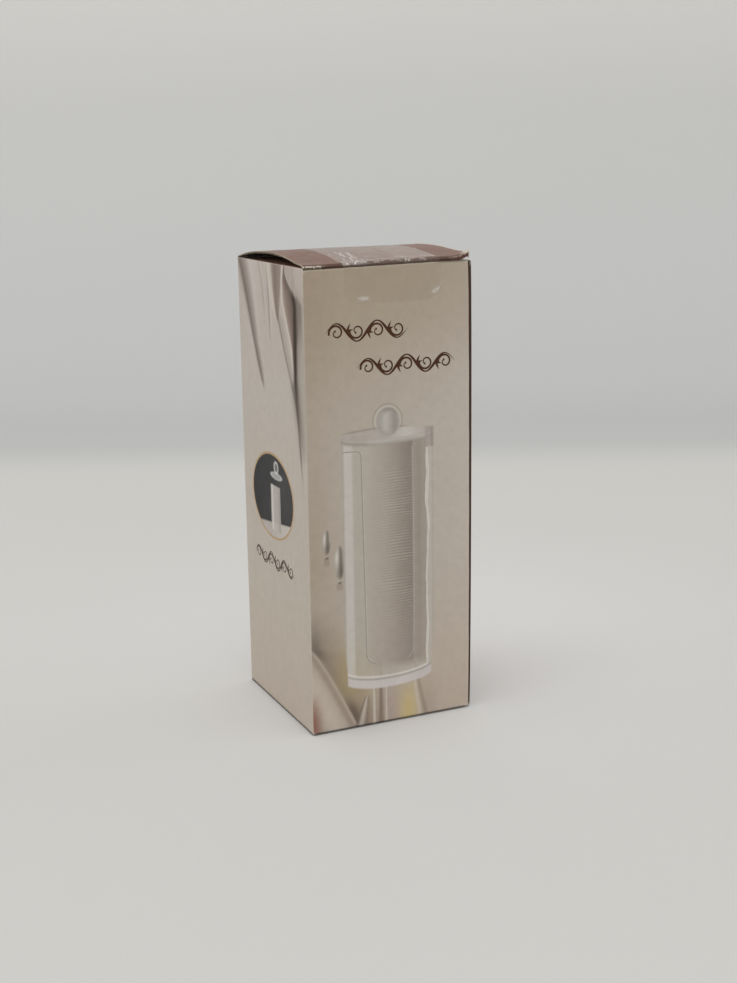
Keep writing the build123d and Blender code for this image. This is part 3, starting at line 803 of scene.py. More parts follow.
# Front wall: folded at its left, raw and a little askew at its right
along, depth = creased(-HALF, HALF, GRID_STEP, True, False)
share = (along + HALF) / (2 * HALF)
front_top = front_high[2] + FRONT_TOP[0] + (FRONT_TOP[1] - FRONT_TOP[0]) * share
front_top = front_top + 0.05 * wander(along, 9, 3)
rows = np.linspace(0, 1, round((SIDE_TOP - SIDE_BOTTOM) / LINE_STEP) + 1)[:, None]
z = SIDE_BOTTOM + (front_top - SIDE_BOTTOM) * rows
setback = SETBACK_BOTTOM + (SETBACK_TOP - SETBACK_BOTTOM) * rows + 0.05 * wander(rows * 200, 31, 5)
a = along + (seam_bulge(z) - setback) * np.clip((along + HALF - 2) / (2 * HALF - 2), 0, 1)


def front_inner(points):
    """Border of the front wall's inner face."""
    inner = points.copy()
    inner[:, 0] = np.maximum(inner[:, 0] * (HALF - BOARD) / HALF, -HALF + BOARD)
    inner[:, 0] = np.where(points[:, 0] > RAW_FROM, points[:, 0], inner[:, 0])
    inner[:, 1] = -HALF + BOARD
    return inner


front_grid = on_wall("front", a, depth, z)
wear = edge_wear(a, z, -HALF, HALF - 2, SIDE_BOTTOM, front_top)
# Painted shadow: a dark line along the front's raw top edge at its right, under the lid's curled corner; the
# wear there is held back too.
rim_gap_shadow = 0.8 * ramp(z - front_top, -0.55, -0.25) * ramp(a, 20, 26)
wear = wear * (1 - rim_gap_shadow)
# Painted shade darkens the wall's foot.
front_colours = foot_painted_shade(front_ink(a, z), z, SIDE_BOTTOM) * (1 - rim_gap_shadow)[..., None]
piece("front_wall", slab(front_grid, front_inner), FRONT_PRINT, "front_panel", "printed_board", "carton",
      ink=with_wear(front_colours, wear), pads=pad_lines(a, z).reshape(-1))


def side_wall(name, way, ink, materials, node, low, high, step, along, depth):
    """One of the flat walls that are folded at both ends, its inner face drawn in to the mitres. Without an
    ink it is plain brown, with painted shade round its seam bend."""
    rows = np.linspace(0, 1, round((high - low) / step) + 1)[:, None]
    z = np.broadcast_to(low + (high - low) * rows, (len(rows), len(along)))
    a = np.broadcast_to(along, z.shape)
    axis = 0 if way == "back" else 1
    side = 1 if way in ("back", "right") else -1

    def inner_border(points):
        """Border of the inner face: in by the board's thickness at both bends and at both ends."""
        inner = points.copy()
        inner[:, axis] *= (HALF - BOARD) / np.max(np.abs(along))
        inner[:, 1 - axis] = side * (HALF - BOARD)
        share = (points[:, 2] - low) / (high - low)
        inner[:, 2] += BOARD * (1 - share) - BOARD * share
        return inner

    belly = seam_bulge(z) * (HALF - a) / (2 * HALF) if way == "right" else 0
    grid = on_wall(way, a, depth - belly, z)
    if ink:
        # Painted shade darkens the wall's foot.
        colours = foot_painted_shade(ink(a, z), z, low)
    else:
        # Painted shade: the brown darkens towards the seam bend, down to SEAM_SHADE at the corner.
        colours = grey(SEAM_SHADE + (1 - SEAM_SHADE) * ramp(a, 2.0 - HALF, 5.0 - HALF))
    wear = edge_wear(a, z, -HALF, HALF, low, high)
    if way == "right":
        rubs = sum(strength * bump(z - at, 0.7) for at, strength in NICKS)
        wear = wear + rubs * bump(a + HALF - 0.8, 1.0)
    extra = {"pads": pad_lines(a, z).reshape(-1)} if way == "back" else {}
    return piece(name, slab(grid, inner_border), materials, node, "printed_board" if ink else "brown_board",
                 "carton", ink=with_wear(colours, wear), **extra)


along, depth = creased(-HALF, HALF, GRID_STEP, True, True)
side_wall("left_wall", "left", left_ink, SIDE_PRINT, "left_side_panel", SIDE_BOTTOM, SIDE_TOP, GRID_STEP,
          along, depth)
side_wall("back_wall", "back", front_ink, FRONT_PRINT, "back_panel", 0.0, LID_Z, LINE_STEP, along, depth)

# Right wall: plain brown, and bent round the seam corner, where the glue flap carries on behind the front
seam_y = GLUE_Y + SEAM_R
turn = np.linspace(0, math.pi / 4, 7)[1:]
flat_along, flat_depth = creased(seam_y, HALF, 2.0, False, True)
along = np.concatenate([(seam_y - SEAM_R * np.sin(turn))[::-1], flat_along])
depth = np.concatenate([(SEAM_R * (1 - np.cos(turn)))[::-1], flat_depth])
side_wall("right_wall", "right", None, BROWN_PRINT, "right_side_panel", SIDE_BOTTOM, SIDE_TOP, GRID_STEP,
          along, depth)

# Glue flap: round the rest of the seam bend, then flat behind the front wall, with tapered ends
turn = np.linspace(math.pi / 4, math.pi / 2, 7)
flat_x = np.linspace(HALF - SEAM_R, glue_low[0], 13)[1:]
flap_x = np.concatenate([HALF - SEAM_R + SEAM_R * np.cos(turn), flat_x])
flap_y = np.concatenate([seam_y - SEAM_R * np.sin(turn), np.full(12, GLUE_Y)])
inner_x = np.concatenate([HALF - SEAM_R + (SEAM_R - BOARD) * np.cos(turn), flat_x])
inner_y = np.concatenate([seam_y - (SEAM_R - BOARD) * np.sin(turn), np.full(12, GLUE_Y + BOARD)])
taper = GLUE_TAPER * np.clip((HALF - SEAM_R - flap_x) / (HALF - SEAM_R - glue_low[0]), 0, 1)
rows = np.linspace(0, 1, 60)[:, None]
flap_z = glue_low[2] + taper + (glue_high[2] - glue_low[2] - 2 * taper) * rows
flap_outer = points_at(flap_x + seam_bulge(flap_z), flap_y, flap_z)[:, ::-1]
flap_inner = points_at(inner_x + seam_bulge(flap_z), inner_y, flap_z)[:, ::-1]
# Painted shade: the whole flap, seen only round the seam bend, takes the bend's darkened brown.
plain = np.full((flap_outer.shape[0] * flap_outer.shape[1], 4), SEAM_SHADE)
plain[:, 3] = 0
piece("glue_flap_board", sheet(flap_outer, flap_inner), BROWN_PRINT, "glue_flap",
      "brown_board", "carton", ink=plain)

# Dust flaps


def dust_flap(name, node, side, z_out, inward, body):
    """Dust flap: columns run along its reach from the crease, rows along its width. Its edges taper, and
    its free corners are rounded as quarter circles."""
    turn = np.linspace(0, math.pi / 2, 8)[1:]
    reach = np.concatenate([np.linspace(0, DUST_L - DUST_R, 30), DUST_L - DUST_R * (1 - np.sin(turn))])
    y_front = flap_low[1] + np.maximum(reach - DUST_SHOULDER, 0) * DUST_FRONT_TAPER
    y_rear = flap_high[1] - reach * DUST_REAR_TAPER
    corner = quarter(DUST_R, reach - DUST_L + DUST_R)
    low, high = y_front + corner, y_rear - corner
    rows = np.linspace(0, 1, 36)[:, None]
    y = low + (high - low) * rows
    x = side * (HALF - reach)
    x_in = side * (HALF - BOARD - reach * (DUST_L - BOARD) / DUST_L)
    outer, inner = points_at(x, y, z_out), points_at(x_in, y, z_out + inward * BOARD)
    wear = np.broadcast_to(0.8 * bump(reach, 0.6), y.shape)
    if side * inward < 0:
        outer, inner, wear = outer[:, ::-1], inner[:, ::-1], wear[:, ::-1]
    shade = with_wear(np.ones(y.shape + (3,)), wear)
    piece(name, sheet(outer, inner), BROWN_PRINT, node, "brown_board", body, ink=shade)


for side, word in ((-1, "left"), (1, "right")):
    dust_flap(f"upper_{word}_flap", f"top_{word}_dust_flap", side, SIDE_TOP, -1, f"top_{word}_dust")
    dust_flap(f"lower_{word}_flap", f"bottom_{word}_dust_flap", side, SIDE_BOTTOM, 1, f"bottom_{word}_dust")

# Lid panels and tuck flaps

SLIT_X = tuck_high[0] - SLIT_L           # inner ends of the slit locks
CORNER_LIFT = 2.1                        # the curl of the lid's right front corner
CORNER_FROM = 16.0                       # it starts this far before the middle
SHOULDER, SHOULDER_AT = 0.6, 1.7         # height and place of the roll behind the fold


def bow(y):
    """Height of the lid panel's circle at y."""
    return BOW_Z + np.sqrt(BOW_R**2 - (y - BOW_MID) ** 2)


def fold_shift(x):
    """Worn front fold: it hangs lower at the left than at the right."""
    return np.interp(x, [-38, -30, 33, 38], [-0.45, -0.45, 0.65, 0.7]) + 0.06 * wander(x, 23, 11)


def lid_shift(x, y):
    """Height of the worn lid over its circle: the fold's slope fades out towards the middle, and the free
    right front corner curls up as a power of the way to the tip. Behind the crease the board rolls over a low
    shoulder, t exp(1 - t)."""
    tilt = fold_shift(x) * ramp(y, 6, TUCK_Y)
    reach = np.clip((-y - CORNER_FROM) / (-TUCK_Y - CORNER_FROM), 0, 1)
    corner = CORNER_LIFT * ramp(x, SLIT_X + 2.0, LID_SIDE + 0.5) * reach**2.2
    settle = -0.28 * ramp(x, 0, -LID_SIDE) * bump(y - 8, 9)
    back = np.maximum(y - TUCK_Y, 0) / SHOULDER_AT
    return tilt + corner + settle + SHOULDER * back * np.exp(1 - back)


def lid_top(x, y):
    """Height of the worn lid's upper face."""
    return bow(np.maximum(y, TUCK_Y)) + lid_shift(x, y)


def mitre_tip(y, z, first, second):
    """Inner end of the mitre between two panels that leave the outer crease line (y, z) at two angles."""
    step = BOARD / math.sin(abs(first - second) / 2)
    middle = (first + second) / 2
    return y + step * math.cos(middle), z + step * math.sin(middle)


DOWN, UP = -math.pi / 2, math.pi / 2
top_rear_tip = mitre_tip(HALF, LID_Z, math.pi - BOW_SLOPE, math.pi - DOWN)
top_front_tip = mitre_tip(TUCK_Y, LID_Z, BOW_SLOPE, DOWN + TUCK_LEAN)
low_rear_tip = mitre_tip(HALF, 0, UP, math.pi)
low_front_tip = mitre_tip(TUCK_Y, 0, 0, UP - TUCK_LEAN)
# The crease between lid and tuck flap, given for what lies on the lid: points 0.25 mm behind their crease
# line and 0.2 mm past it
TOP_CREASE = ("top_lid", "top_tuck", (0, (TUCK_Y + 0.25) * MM, (LID_Z + 0.25) * MM),
              (0, (TUCK_Y - 0.2) * MM, (LID_Z - 0.2) * MM))

x = np.concatenate([np.linspace(-LID_SIDE, 24, 80)[:-1], np.linspace(24, LID_SIDE, 36)])
share = np.concatenate([np.linspace(0, 0.1, 20)[:-1], np.linspace(0.1, 1, 70)])[:, None]
ragged = 0.35 * np.abs(wander(x, 3.1, 21)) + 0.15 * np.abs(wander(x, 0.9, 22))
ragged = np.where(np.abs(x) > SLIT_X, ragged, 0)
y = TUCK_Y + ragged * (1 - share) ** 8 + CHORD * share
y_in = top_front_tip[0] + ragged * (1 - share) ** 8 + (top_rear_tip[0] - top_front_tip[0]) * share
shift = lid_shift(x, y)
torn_in = -0.45 * np.abs(wander(share * CHORD, 3.7, 31)) * np.sign(x)
torn_in = torn_in * ramp(np.abs(x), LID_SIDE - 3, LID_SIDE)
lid_outer = points_at(x + torn_in, y, bow(y) + shift)
drop = BOW_Z + np.sqrt((BOW_R - BOARD) ** 2 - (y_in - BOW_MID) ** 2)
lid_inner = points_at(x + torn_in, y_in, drop + shift)
side_dist = LID_SIDE - np.abs(x)
free = ramp(np.abs(x), SLIT_X - 2, SLIT_X + 1)
lid_wear = (0.75 * bump(side_dist, 0.6) + 0.1 * bump(y - TUCK_Y, 0.8) + 0.9 * bump(HALF - y, 0.9)
            + 0.8 * free * bump(y - TUCK_Y, 0.6) + 1.2 * ramp(x, 33.8, 35) * ramp(y, -33, -36.5))
# Painted shade: the lid's brown darkens along its front fold, least in red and most in blue.
fold_painted_shade = np.broadcast_to(bump(y - TUCK_Y, 1.6), shift.shape)[..., None]
lid_colour = with_wear(1 - fold_painted_shade * [0.68, 0.73, 0.78], np.broadcast_to(lid_wear, shift.shape))
piece("upper_lid", sheet(lid_outer, lid_inner), BROWN_PRINT, "top_lid_panel",
      "brown_board", crease=TOP_CREASE, ink=lid_colour)


def torn_ply(name, x_range, y_range, over, under, ragged, rough, seed, fibre):
    """Torn ply: a thin sheet between two heights over the lid's upper face. Its four borders are drawn in by
    the size of ragged random lines, and rough random lines lie over both of its faces."""
    size_x, size_y = x_range[1] - x_range[0], y_range[1] - y_range[0]
    along = np.linspace(0, 1, int(np.clip(size_x / 0.12, 24, 200)))
    across = np.linspace(0, 1, int(np.clip(size_y / 0.12, 24, 200)))[:, None]
    x_low = x_range[0] + ragged * np.abs(wander(across * size_y, 2.9, seed))
    x_high = x_range[1] - ragged * np.abs(wander(across * size_y, 3.3, seed + 1))
    y_low = y_range[0] + ragged * np.abs(wander(along * size_x, 2.6, seed + 2))
    y_high = y_range[1] - ragged * np.abs(wander(along * size_x, 3.7, seed + 3))
    x, y = x_low + (x_high - x_low) * along, y_low + (y_high - y_low) * across
    lid = lid_top(x, y)
    top = lid + over(x, y) + rough * wander(x * 1.3 + y * 0.7, 2.1, seed + 4)
    bottom = lid + under(x, y) - rough * np.abs(wander(x * 0.8 - y * 1.2, 1.7, seed + 5))
    piece(name, sheet(points_at(x, y, top), points_at(x, y, bottom)), [fibre], None, "brown_board",
          crease=TOP_CREASE)


def tuck(name, node, crease_z, way, tip, shift_at, body=None, crease=None):
    """Tuck flap: rows run away from the crease, and each column ends where the slit lock or the rounded
    corner cuts it."""
    x = np.concatenate([-np.linspace(tuck_high[0], SLIT_X + 0.01, 24), np.linspace(-SLIT_X, SLIT_X, 60),
                        np.linspace(SLIT_X + 0.01, tuck_high[0], 24)])
    low = np.where(np.abs(x) > SLIT_X, SLIT_W, 0.0)
    high = TUCK_L - quarter(TUCK_R, np.abs(x) - tuck_high[0] + TUCK_R)
    reach = low + (high - low) * np.linspace(0, 1, 24)[:, None]
    inner_share = reach / TUCK_L
    shift = shift_at(x) * (1 - inner_share) ** 2
    y = TUCK_Y + reach * math.cos(way)
    z = crease_z + reach * math.sin(way) + shift
    y_in = tip[0] + inner_share * (TUCK_Y + TUCK_L * math.cos(way) + BOARD * abs(math.sin(way)) - tip[0])
    foot = crease_z + TUCK_L * math.sin(way) - BOARD * math.cos(way) * math.copysign(1, math.sin(way))
    z_in = tip[1] + inner_share * (foot - tip[1]) + shift
    outer, inner = points_at(x, y, z), points_at(x, y_in, z_in)
    wear = 0.08 * bump(reach, 0.7) + np.where(np.abs(x) > SLIT_X, 0.8, 0) * bump(reach - low, 1.0)
    if math.sin(way) < 0:
        outer, inner, wear, reach = outer[::-1], inner[::-1], wear[::-1], reach[::-1]
    # Painted shade: the flap's brown darkens along its crease, a dark line under the lid's fold.
    piece(name, sheet(outer, inner), BROWN_PRINT, node, "brown_board", body, crease,
          ink=with_wear(grey(1 - 0.72 * bump(reach, 1.3)), wear))


def corner_share(x, y, width):
    """Share from 0 to 1 towards the tip of the lid's right front corner."""
    return ramp(x, LID_SIDE - width, LID_SIDE) * ramp(y, TUCK_Y + 3, TUCK_Y)


def left_waves(x):
    """Waves of the torn ply at the lid's left front corner."""
    return np.clip(wander(x, 4.1, 77), -0.3, 1)


torn_ply("frayed_corner", (LID_SIDE - 2.8, LID_SIDE + 0.3), (TUCK_Y - 0.2, TUCK_Y + 3.4),
         lambda x, y: 0.1 + 0.9 * corner_share(x, y, 2.2),
         lambda x, y: -BOARD - 0.1 - 2.1 * corner_share(x, y, 2.4), 1.1, 0.3, 51, torn_fibre)
torn_ply("folded_corner_lip", (SLIT_X - 0.6, LID_SIDE - 0.9), (TUCK_Y - 0.3, TUCK_Y + 0.3),
         lambda x, y: 0.01, lambda x, y: -1.25, 0.08, 0.05, 57, lip_brown)
torn_ply("torn_left_front_edge", (-LID_SIDE + 0.3, -SLIT_X - 0.4), (TUCK_Y - 0.25, TUCK_Y + 0.45),
         lambda x, y: 0.12 + 0.45 * left_waves(x) * ramp(y, TUCK_Y + 0.7, TUCK_Y - 0.2),
         lambda x, y: -0.12 + 0.4 * left_waves(x), 0.2, 0.08, 61, torn_fibre)
torn_ply("torn_left_front_core", (-LID_SIDE + 0.8, -SLIT_X - 0.2), (TUCK_Y - 0.28, TUCK_Y + 0.2),
         lambda x, y: 0.05, lambda x, y: -0.75 - 0.25 * wander(x, 3.1, 79), 0.1, 0.08, 83, olive_fibre)
torn_ply("torn_left_side", (-LID_SIDE - 0.15, -LID_SIDE + 1.9), (-14.0, 33.0),
         lambda x, y: -BOARD + 0.03,
         lambda x, y: -BOARD - 0.42 * (0.6 + 0.4 * wander(y, 7.3, 78)), 0.45, 0.16, 71, olive_fibre)
torn_ply("torn_right_side", (LID_SIDE - 0.8, LID_SIDE + 0.05), (-31.0, 16.0),
         lambda x, y: 0.02 + 0.34 * np.clip(wander(y, 5.7, 91), -0.1, 1),
         lambda x, y: -BOARD, 0.25, 0.06, 93, torn_fibre)
tuck("upper_tuck", "top_tuck_flap", LID_Z, DOWN + TUCK_LEAN, top_front_tip, fold_shift, crease=TOP_CREASE)
tuck("lower_tuck", "bottom_tuck_flap", 0.0, UP - TUCK_LEAN, low_front_tip, lambda x: 0 * x, "bottom_tuck")

x = np.linspace(-LID_SIDE, LID_SIDE, 60)
share = np.linspace(0, 1, 60)[:, None]
y = TUCK_Y + CHORD * share
y_in = low_front_tip[0] + (low_rear_tip[0] - low_front_tip[0]) * share
low_outer = points_at(x, y, 0.0)[:, ::-1]
low_inner = points_at(x, y_in, BOARD)[:, ::-1]
low_wear = 0.7 * bump(y - TUCK_Y, 0.8) + 0.7 * bump(HALF - y, 0.8) + 0 * x
# Painted shade: the lower lid is all darkened brown, a dark line under the walls' foot.
piece("lower_lid", sheet(low_outer, low_inner), [brown_print, inner_board, low_edge], "bottom_lid_panel",
      "brown_board", "bottom_lid", ink=with_wear(grey(SEAM_SHADE + 0 * low_wear), low_wear))

# Film seal: one sheet from the lid, over the front fold and down the front wall

FOLD_OUT = 0.12               # the film's bend stands this far before the tuck crease
CROSS_L = 1.6                 # length of its bend between lid and front wall
film_x = np.linspace(film_low[0], film_high[0], 220)
lid_length = np.concatenate([np.linspace(FILM_L, 24, 30)[:-1], np.linspace(24, 0, 110)])
film_half = (film_high[0] - film_low[0]) / 2
inset = quarter(FILM_R, np.abs(film_x - np.mean(film_x)) - film_half + FILM_R)
rear_y = film_high[1] - inset
fold_y = TUCK_Y - FOLD_OUT
over_y = rear_y + (fold_y - rear_y) * (1 - lid_length / FILM_L)[:, None]
over_z = lid_top(film_x, over_y)
wall_top = np.interp(film_x, [-HALF, HALF], [front_high[2] + end for end in FRONT_TOP]) - 0.15
cross = np.linspace(0, 1, 14)[1:, None]
cross_y = fold_y + (-HALF - fold_y) * ramp(cross, 0.45, 1.0)
cross_z = over_z[-1] + (wall_top + FOLD_OUT - over_z[-1]) * np.clip(cross / 0.6, 0, 1)
cross_z = cross_z - FOLD_OUT * ramp(cross, 0.55, 1.0)
down = np.linspace(0, 1, 44)[1:, None]
down_z = wall_top + (tab_low[2] + inset - wall_top) * down
path_y = np.concatenate([over_y, cross_y + 0 * film_x, np.full(down_z.shape, -HALF)])
path_z = np.concatenate([over_z, cross_z, down_z])
path_x = np.broadcast_to(film_x, path_y.shape)
length = np.concatenate([lid_length, -CROSS_L * cross[:, 0], -CROSS_L - TAB_L * down[:, 0]])[:, None]
on_front = length < -3

# Crinkles by family: count, then the spans of place across, length from the fold, turn, reach, height, width
CRINKLES = {
    "gathered": (22, (-19.0, -8.5), (5.0, 23.0), (1.15, 1.8), (3.0, 7.0), (0.13, 0.27), (0.19, 0.27)),
    "fold": (46, (-19.0, 22.5), (0.0, 4.0), (0.4, 2.7), (0.5, 1.7), (0.12, 0.30), (0.16, 0.28)),
    "long": (14, (-10.0, 20.0), (7.0, 44.0), (-0.35, 0.35), (3.0, 7.0), (0.04, 0.08), (0.35, 0.6)),
}
crinkle = np.random.default_rng(19)
ridge = np.zeros(path_y.shape)
for family, (count, *spans) in CRINKLES.items():
    for _ in range(count):
        x0, l0, turn, reach, height, width = (crinkle.uniform(*span) for span in spans)
        if family == "fold":
            l0 = 0.5 + 0.4 * l0**2
        u = (path_x - x0) * math.cos(turn) + (length - l0) * math.sin(turn)
        v = (length - l0) * math.cos(turn) - (path_x - x0) * math.sin(turn)
        ridge += height * bump(u, reach) * bump(v + 0.1 * u * u * math.cos(3 * x0) / reach, width)
# Three long waves across, the edge of a second layer, and the line where the film lets go of the fold
for l0, x0, reach in ((21, 12.5, 7), (25.5, 10, 6), (16, -13, 4)):
    wave = length - l0 - 0.05 * (path_x - x0) - 0.5 * wander(path_x, 11, 40 + l0)
    ridge += 0.07 * bump(path_x - x0, reach) * bump(wave, 0.6)
layer_edge = path_x - 6.3 - 0.09 * length
ridge += 0.10 * bump(layer_edge, 0.45) * ramp(length, 1.5, 4) * ramp(length, 36, 28)
ridge += 0.12 * bump(length - 11.2 + 0.16 * (path_x + 5) ** 2, 0.7) * bump(path_x + 4.6, 2.6)
front_line = np.interp(path_x, [-20, -13, -8, 2, 12, 23], [0.1, 0.5, 2.4, 3.0, 3.3, 3.2])
front_line = length - front_line - 0.6 * wander(path_x, 8.3, 12)
ridge += 0.13 * bump(front_line, 0.35) * np.clip(1.5 * wander(path_x, 3.1, 13), 0, 1)
ridge *= ramp(length, -0.9, 0.2)
# Two blisters on the front wall, one round and one slanting
blister = 0.24 * bump(np.hypot((path_x + 12.0) / 2.6, path_z - 186.6), 1.1) * on_front
slant_x, slant_z = path_x - 21.4, path_z - 188.6
slanting = bump((slant_x + 0.9 * slant_z) / 3.8, 1) * bump((slant_z - 0.75 * slant_x) / 1.2, 1)
blister += 0.26 * slanting * on_front
along_y, along_z = np.gradient(path_y, axis=0), np.gradient(path_z, axis=0)
size = np.hypot(along_y, along_z)
out_y, out_z = along_z / size, -along_y / size


def film_face(lift):
    """The film's path, moved outwards by a lift."""
    return points_at(path_x, path_y + out_y * lift, path_z + out_z * lift)


lift = FILM_GLUE + ridge + blister
on_lid = ramp(front_line, -0.3, 0.5)
second_layer = on_lid * ramp(layer_edge, -0.2, 0.2)
pale_left = ramp(path_x, -6, -12) * ramp(length, -0.5, 0.6) * ramp(length, 9, 3)
haze = 0.015 + 0.100 * on_lid + 0.035 * second_layer + 0.10 * pale_left
haze += 0.52 * np.clip(ridge / 0.22 - 0.12, 0, 1) + 0.4 * np.clip(blister / 0.2, 0, 1) ** 2
piece("film_seal", sheet(film_face(lift + FILM)[::-1], film_face(lift)[::-1]), [film_clear],
      ["seal_label_top", "seal_label_tab"], "clear_film", crease=TOP_CREASE,
      haze=np.concatenate([haze[::-1].reshape(-1)] * 2))

# Organizer


def lathe(name, node, profile, body, steps=160):
    """Turned piece: a closed (radius, z) profile carried round the upright axis. Points on the axis become
    one pole each, closed by triangles."""
    profile = np.array(profile, float)
    angle = np.linspace(0, 2 * math.pi, steps, endpoint=False)
    ring = profile[profile[:, 0] > 1e-6]
    poles = profile[profile[:, 0] <= 1e-6]
    radius, height = ring[:, :1], ring[:, 1:2]
    points = points_at(radius * np.cos(angle), radius * np.sin(angle), height)
    o = np.arange(len(ring) * steps).reshape(len(ring), steps)
    nxt = np.roll(o, -1, 1)
    faces = quads(o[:-1], nxt[:-1], nxt[1:], o[1:]).tolist()
    points = points.reshape(-1, 3)
    if len(poles):
        first, last = len(points), len(points) + 1
        points = np.concatenate([points, [[0, 0, poles[0, 1]], [0, 0, poles[-1, 1]]]])
        faces += np.stack([np.full(steps, first), nxt[0], o[0]], -1).tolist()
        faces += np.stack([np.full(steps, last), o[-1], nxt[-1]], -1).tolist()
    else:
        faces += quads(o[-1], nxt[-1], nxt[0], o[0]).tolist()
    return piece(name, (points, faces, np.zeros(len(faces), int)), [acrylic], node, "clear_acrylic", body)


def soft_corner(r_in, z_in, r, z, r_out, z_out, size):
    """Three points that round a profile's corner (r, z) between its neighbours, the middle one where a
    quarter circle of a square corner would pass."""
    before = np.array([r_in - r, z_in - z]) / math.hypot(r_in - r, z_in - z) * size
    after = np.array([r_out - r, z_out - z]) / math.hypot(r_out - r, z_out - z) * size
    middle = (before + after) * (1 - math.sqrt(0.5))
    return [(r + before[0], z + before[1]), (r + middle[0], z + middle[1]), (r + after[0], z + after[1])]


def polished(points, size=0.25):
    """Rounds every corner of a profile that is off the axis."""
    result = []
    for index, (r, z) in enumerate(points):
        if r < 1e-6:
            result.append((r, z))
        else:
            before, after = points[index - 1], points[(index + 1) % len(points)]
            result += soft_corner(*before, r, z, *after, size)
    return result


RIM_R = base_high[0]
TUBE_R = tube_high[0]
BORE_R = TUBE_R - TUBE_WALL
DISC_R = BORE_R - DISC_GAP
BASE_Z, TUBE_Z, TUBE_TOP = base_low[2], tube_low[2], tube_high[2]
lathe("organizer_foot", "organizer_base", polished([
    (0, BASE_Z + RING_H), (RIM_R - RING_W, BASE_Z + RING_H), (RIM_R - RING_W, BASE_Z),
    (RIM_R - BEVEL, BASE_Z), (RIM_R, BASE_Z + BEVEL), (RIM_R, TUBE_Z - BEVEL), (RIM_R - BEVEL, TUBE_Z),
    (DISC_R, TUBE_Z), (DISC_R, base_high[2]), (0, base_high[2])]), "organizer")
PLATE_Z, PLATE_TOP = plate_low[2], plate_high[2]
SOCKET_R, SOCKET_Z = PEG_R + 0.05, PLATE_TOP - PEG_L - 0.05
lathe("organizer_lid", "organizer_lid_plate", polished([
    (0, PLATE_Z), (RIM_R - BEVEL, PLATE_Z), (RIM_R, PLATE_Z + BEVEL), (RIM_R, PLATE_TOP - BEVEL),
    (RIM_R - BEVEL, PLATE_TOP), (SOCKET_R, PLATE_TOP), (SOCKET_R, SOCKET_Z), (0, SOCKET_Z)]),
    "organizer_lid")
SPIGOT_R = spigot_high[0]
lathe("organizer_spigot", "organizer_lid_spigot", polished([
    (SPIGOT_R - SPIGOT_W, spigot_low[2]), (SPIGOT_R, spigot_low[2]), (SPIGOT_R, spigot_high[2]),
    (SPIGOT_R - SPIGOT_W, spigot_high[2])]), "organizer_lid")
BALL_R = knob_high[0]
PEG_Z = PLATE_TOP - PEG_L
ball_z = knob_high[2] - math.sqrt(BALL_R**2 - NECK_R**2)
swing = np.linspace(-math.acos(NECK_R / BALL_R), math.acos(NECK_R / BALL_R), 40)
ball = [(BALL_R * math.cos(t), ball_z + BALL_R * math.sin(t)) for t in swing]
lathe("organizer_ball", "organizer_knob", [
    (0, PEG_Z), (PEG_R - 0.2, PEG_Z), (PEG_R, PEG_Z + 0.2), (PEG_R, PLATE_TOP), (NECK_R, PLATE_TOP),
    *ball, (0, knob_high[2])], "organizer_lid")

# Organizer tube: rows go up, columns go round from one side of the slot to the other
SILL = TUBE_Z + SILL_H
bend = np.linspace(0.1, math.pi / 2, 12)
mouth_bend = np.linspace(0, math.pi / 2, 12)[1:]
heights = np.concatenate([
    np.linspace(TUBE_Z, SILL, 6), [SILL + 0.03], SILL + SLOT_R * (1 - np.cos(bend)),
    np.linspace(SILL + SLOT_R, TUBE_TOP - MOUTH_R, 40)[1:],
    TUBE_TOP - MOUTH_R + MOUTH_R * np.sin(mouth_bend)])
below_slot = heights <= SILL + 1e-6
slot = np.where(below_slot, 0, SLOT_HALF - quarter(SLOT_R, SILL + SLOT_R - heights))
slot = slot + quarter(MOUTH_R, heights - TUBE_TOP + MOUTH_R)
columns = np.linspace(0, 1, 140)


def tube_grid(radius):
    """Grid of one face of the tube, open as wide as the slot at each height."""
    half = np.arcsin(np.clip(slot / radius, 0, 1))[:, None]
    angle = -math.pi / 2 + half + (2 * math.pi - 2 * half) * columns
    return points_at(radius * np.cos(angle), radius * np.sin(angle), heights[:, None])


tube_points = np.concatenate([tube_grid(TUBE_R).reshape(-1, 3), tube_grid(BORE_R).reshape(-1, 3)])
count = len(heights) * len(columns)
o = np.arange(count).reshape(len(heights), len(columns))
o[below_slot, -1] = o[below_slot, 0]
tube_faces = np.concatenate(shell(o, o + count, np.flatnonzero(below_slot)[-1]))
used, tube_faces = np.unique(tube_faces, return_inverse=True)
tube_faces = tube_faces.reshape(-1, 4)
piece("organizer_clear_tube", (tube_points[used], tube_faces.tolist(), np.zeros(len(tube_faces), int)),
      [acrylic], "organizer_tube", "clear_acrylic", "organizer")

# Ink strokes

SUNK = 0.01                   # ink sits this deep in the board


def stroke(way, points, widths, lift=LAYER):
    """Flat ribbon of ink along a line of (along, z) points, as wide as widths says, standing lift proud."""
    points, widths = np.array(points, float), np.array(widths, float)
    heading = np.gradient(points, axis=0)
    heading /= np.maximum(np.hypot(*heading.T), 1e-9)[:, None]
    side = points_at(-heading[:, 1], heading[:, 0]) * widths[:, None] / 2
    edges = np.stack([points + side, points - side], 1)
    along, z = edges[..., 0], edges[..., 1]
    return sheet(on_wall(way, along, -lift, z), on_wall(way, along, SUNK, z))


def leaf(start, heading, length, width):
    """Pointed leaf: width is a skewed sine along its length."""
    share = np.linspace(0, 1, 16)
    angle = math.radians(heading)
    points = np.array(start) + share[:, None] * length * np.array([math.cos(angle), math.sin(angle)])
    return points, 0.05 + width * np.sin(math.pi * share**0.7) ** 1.2


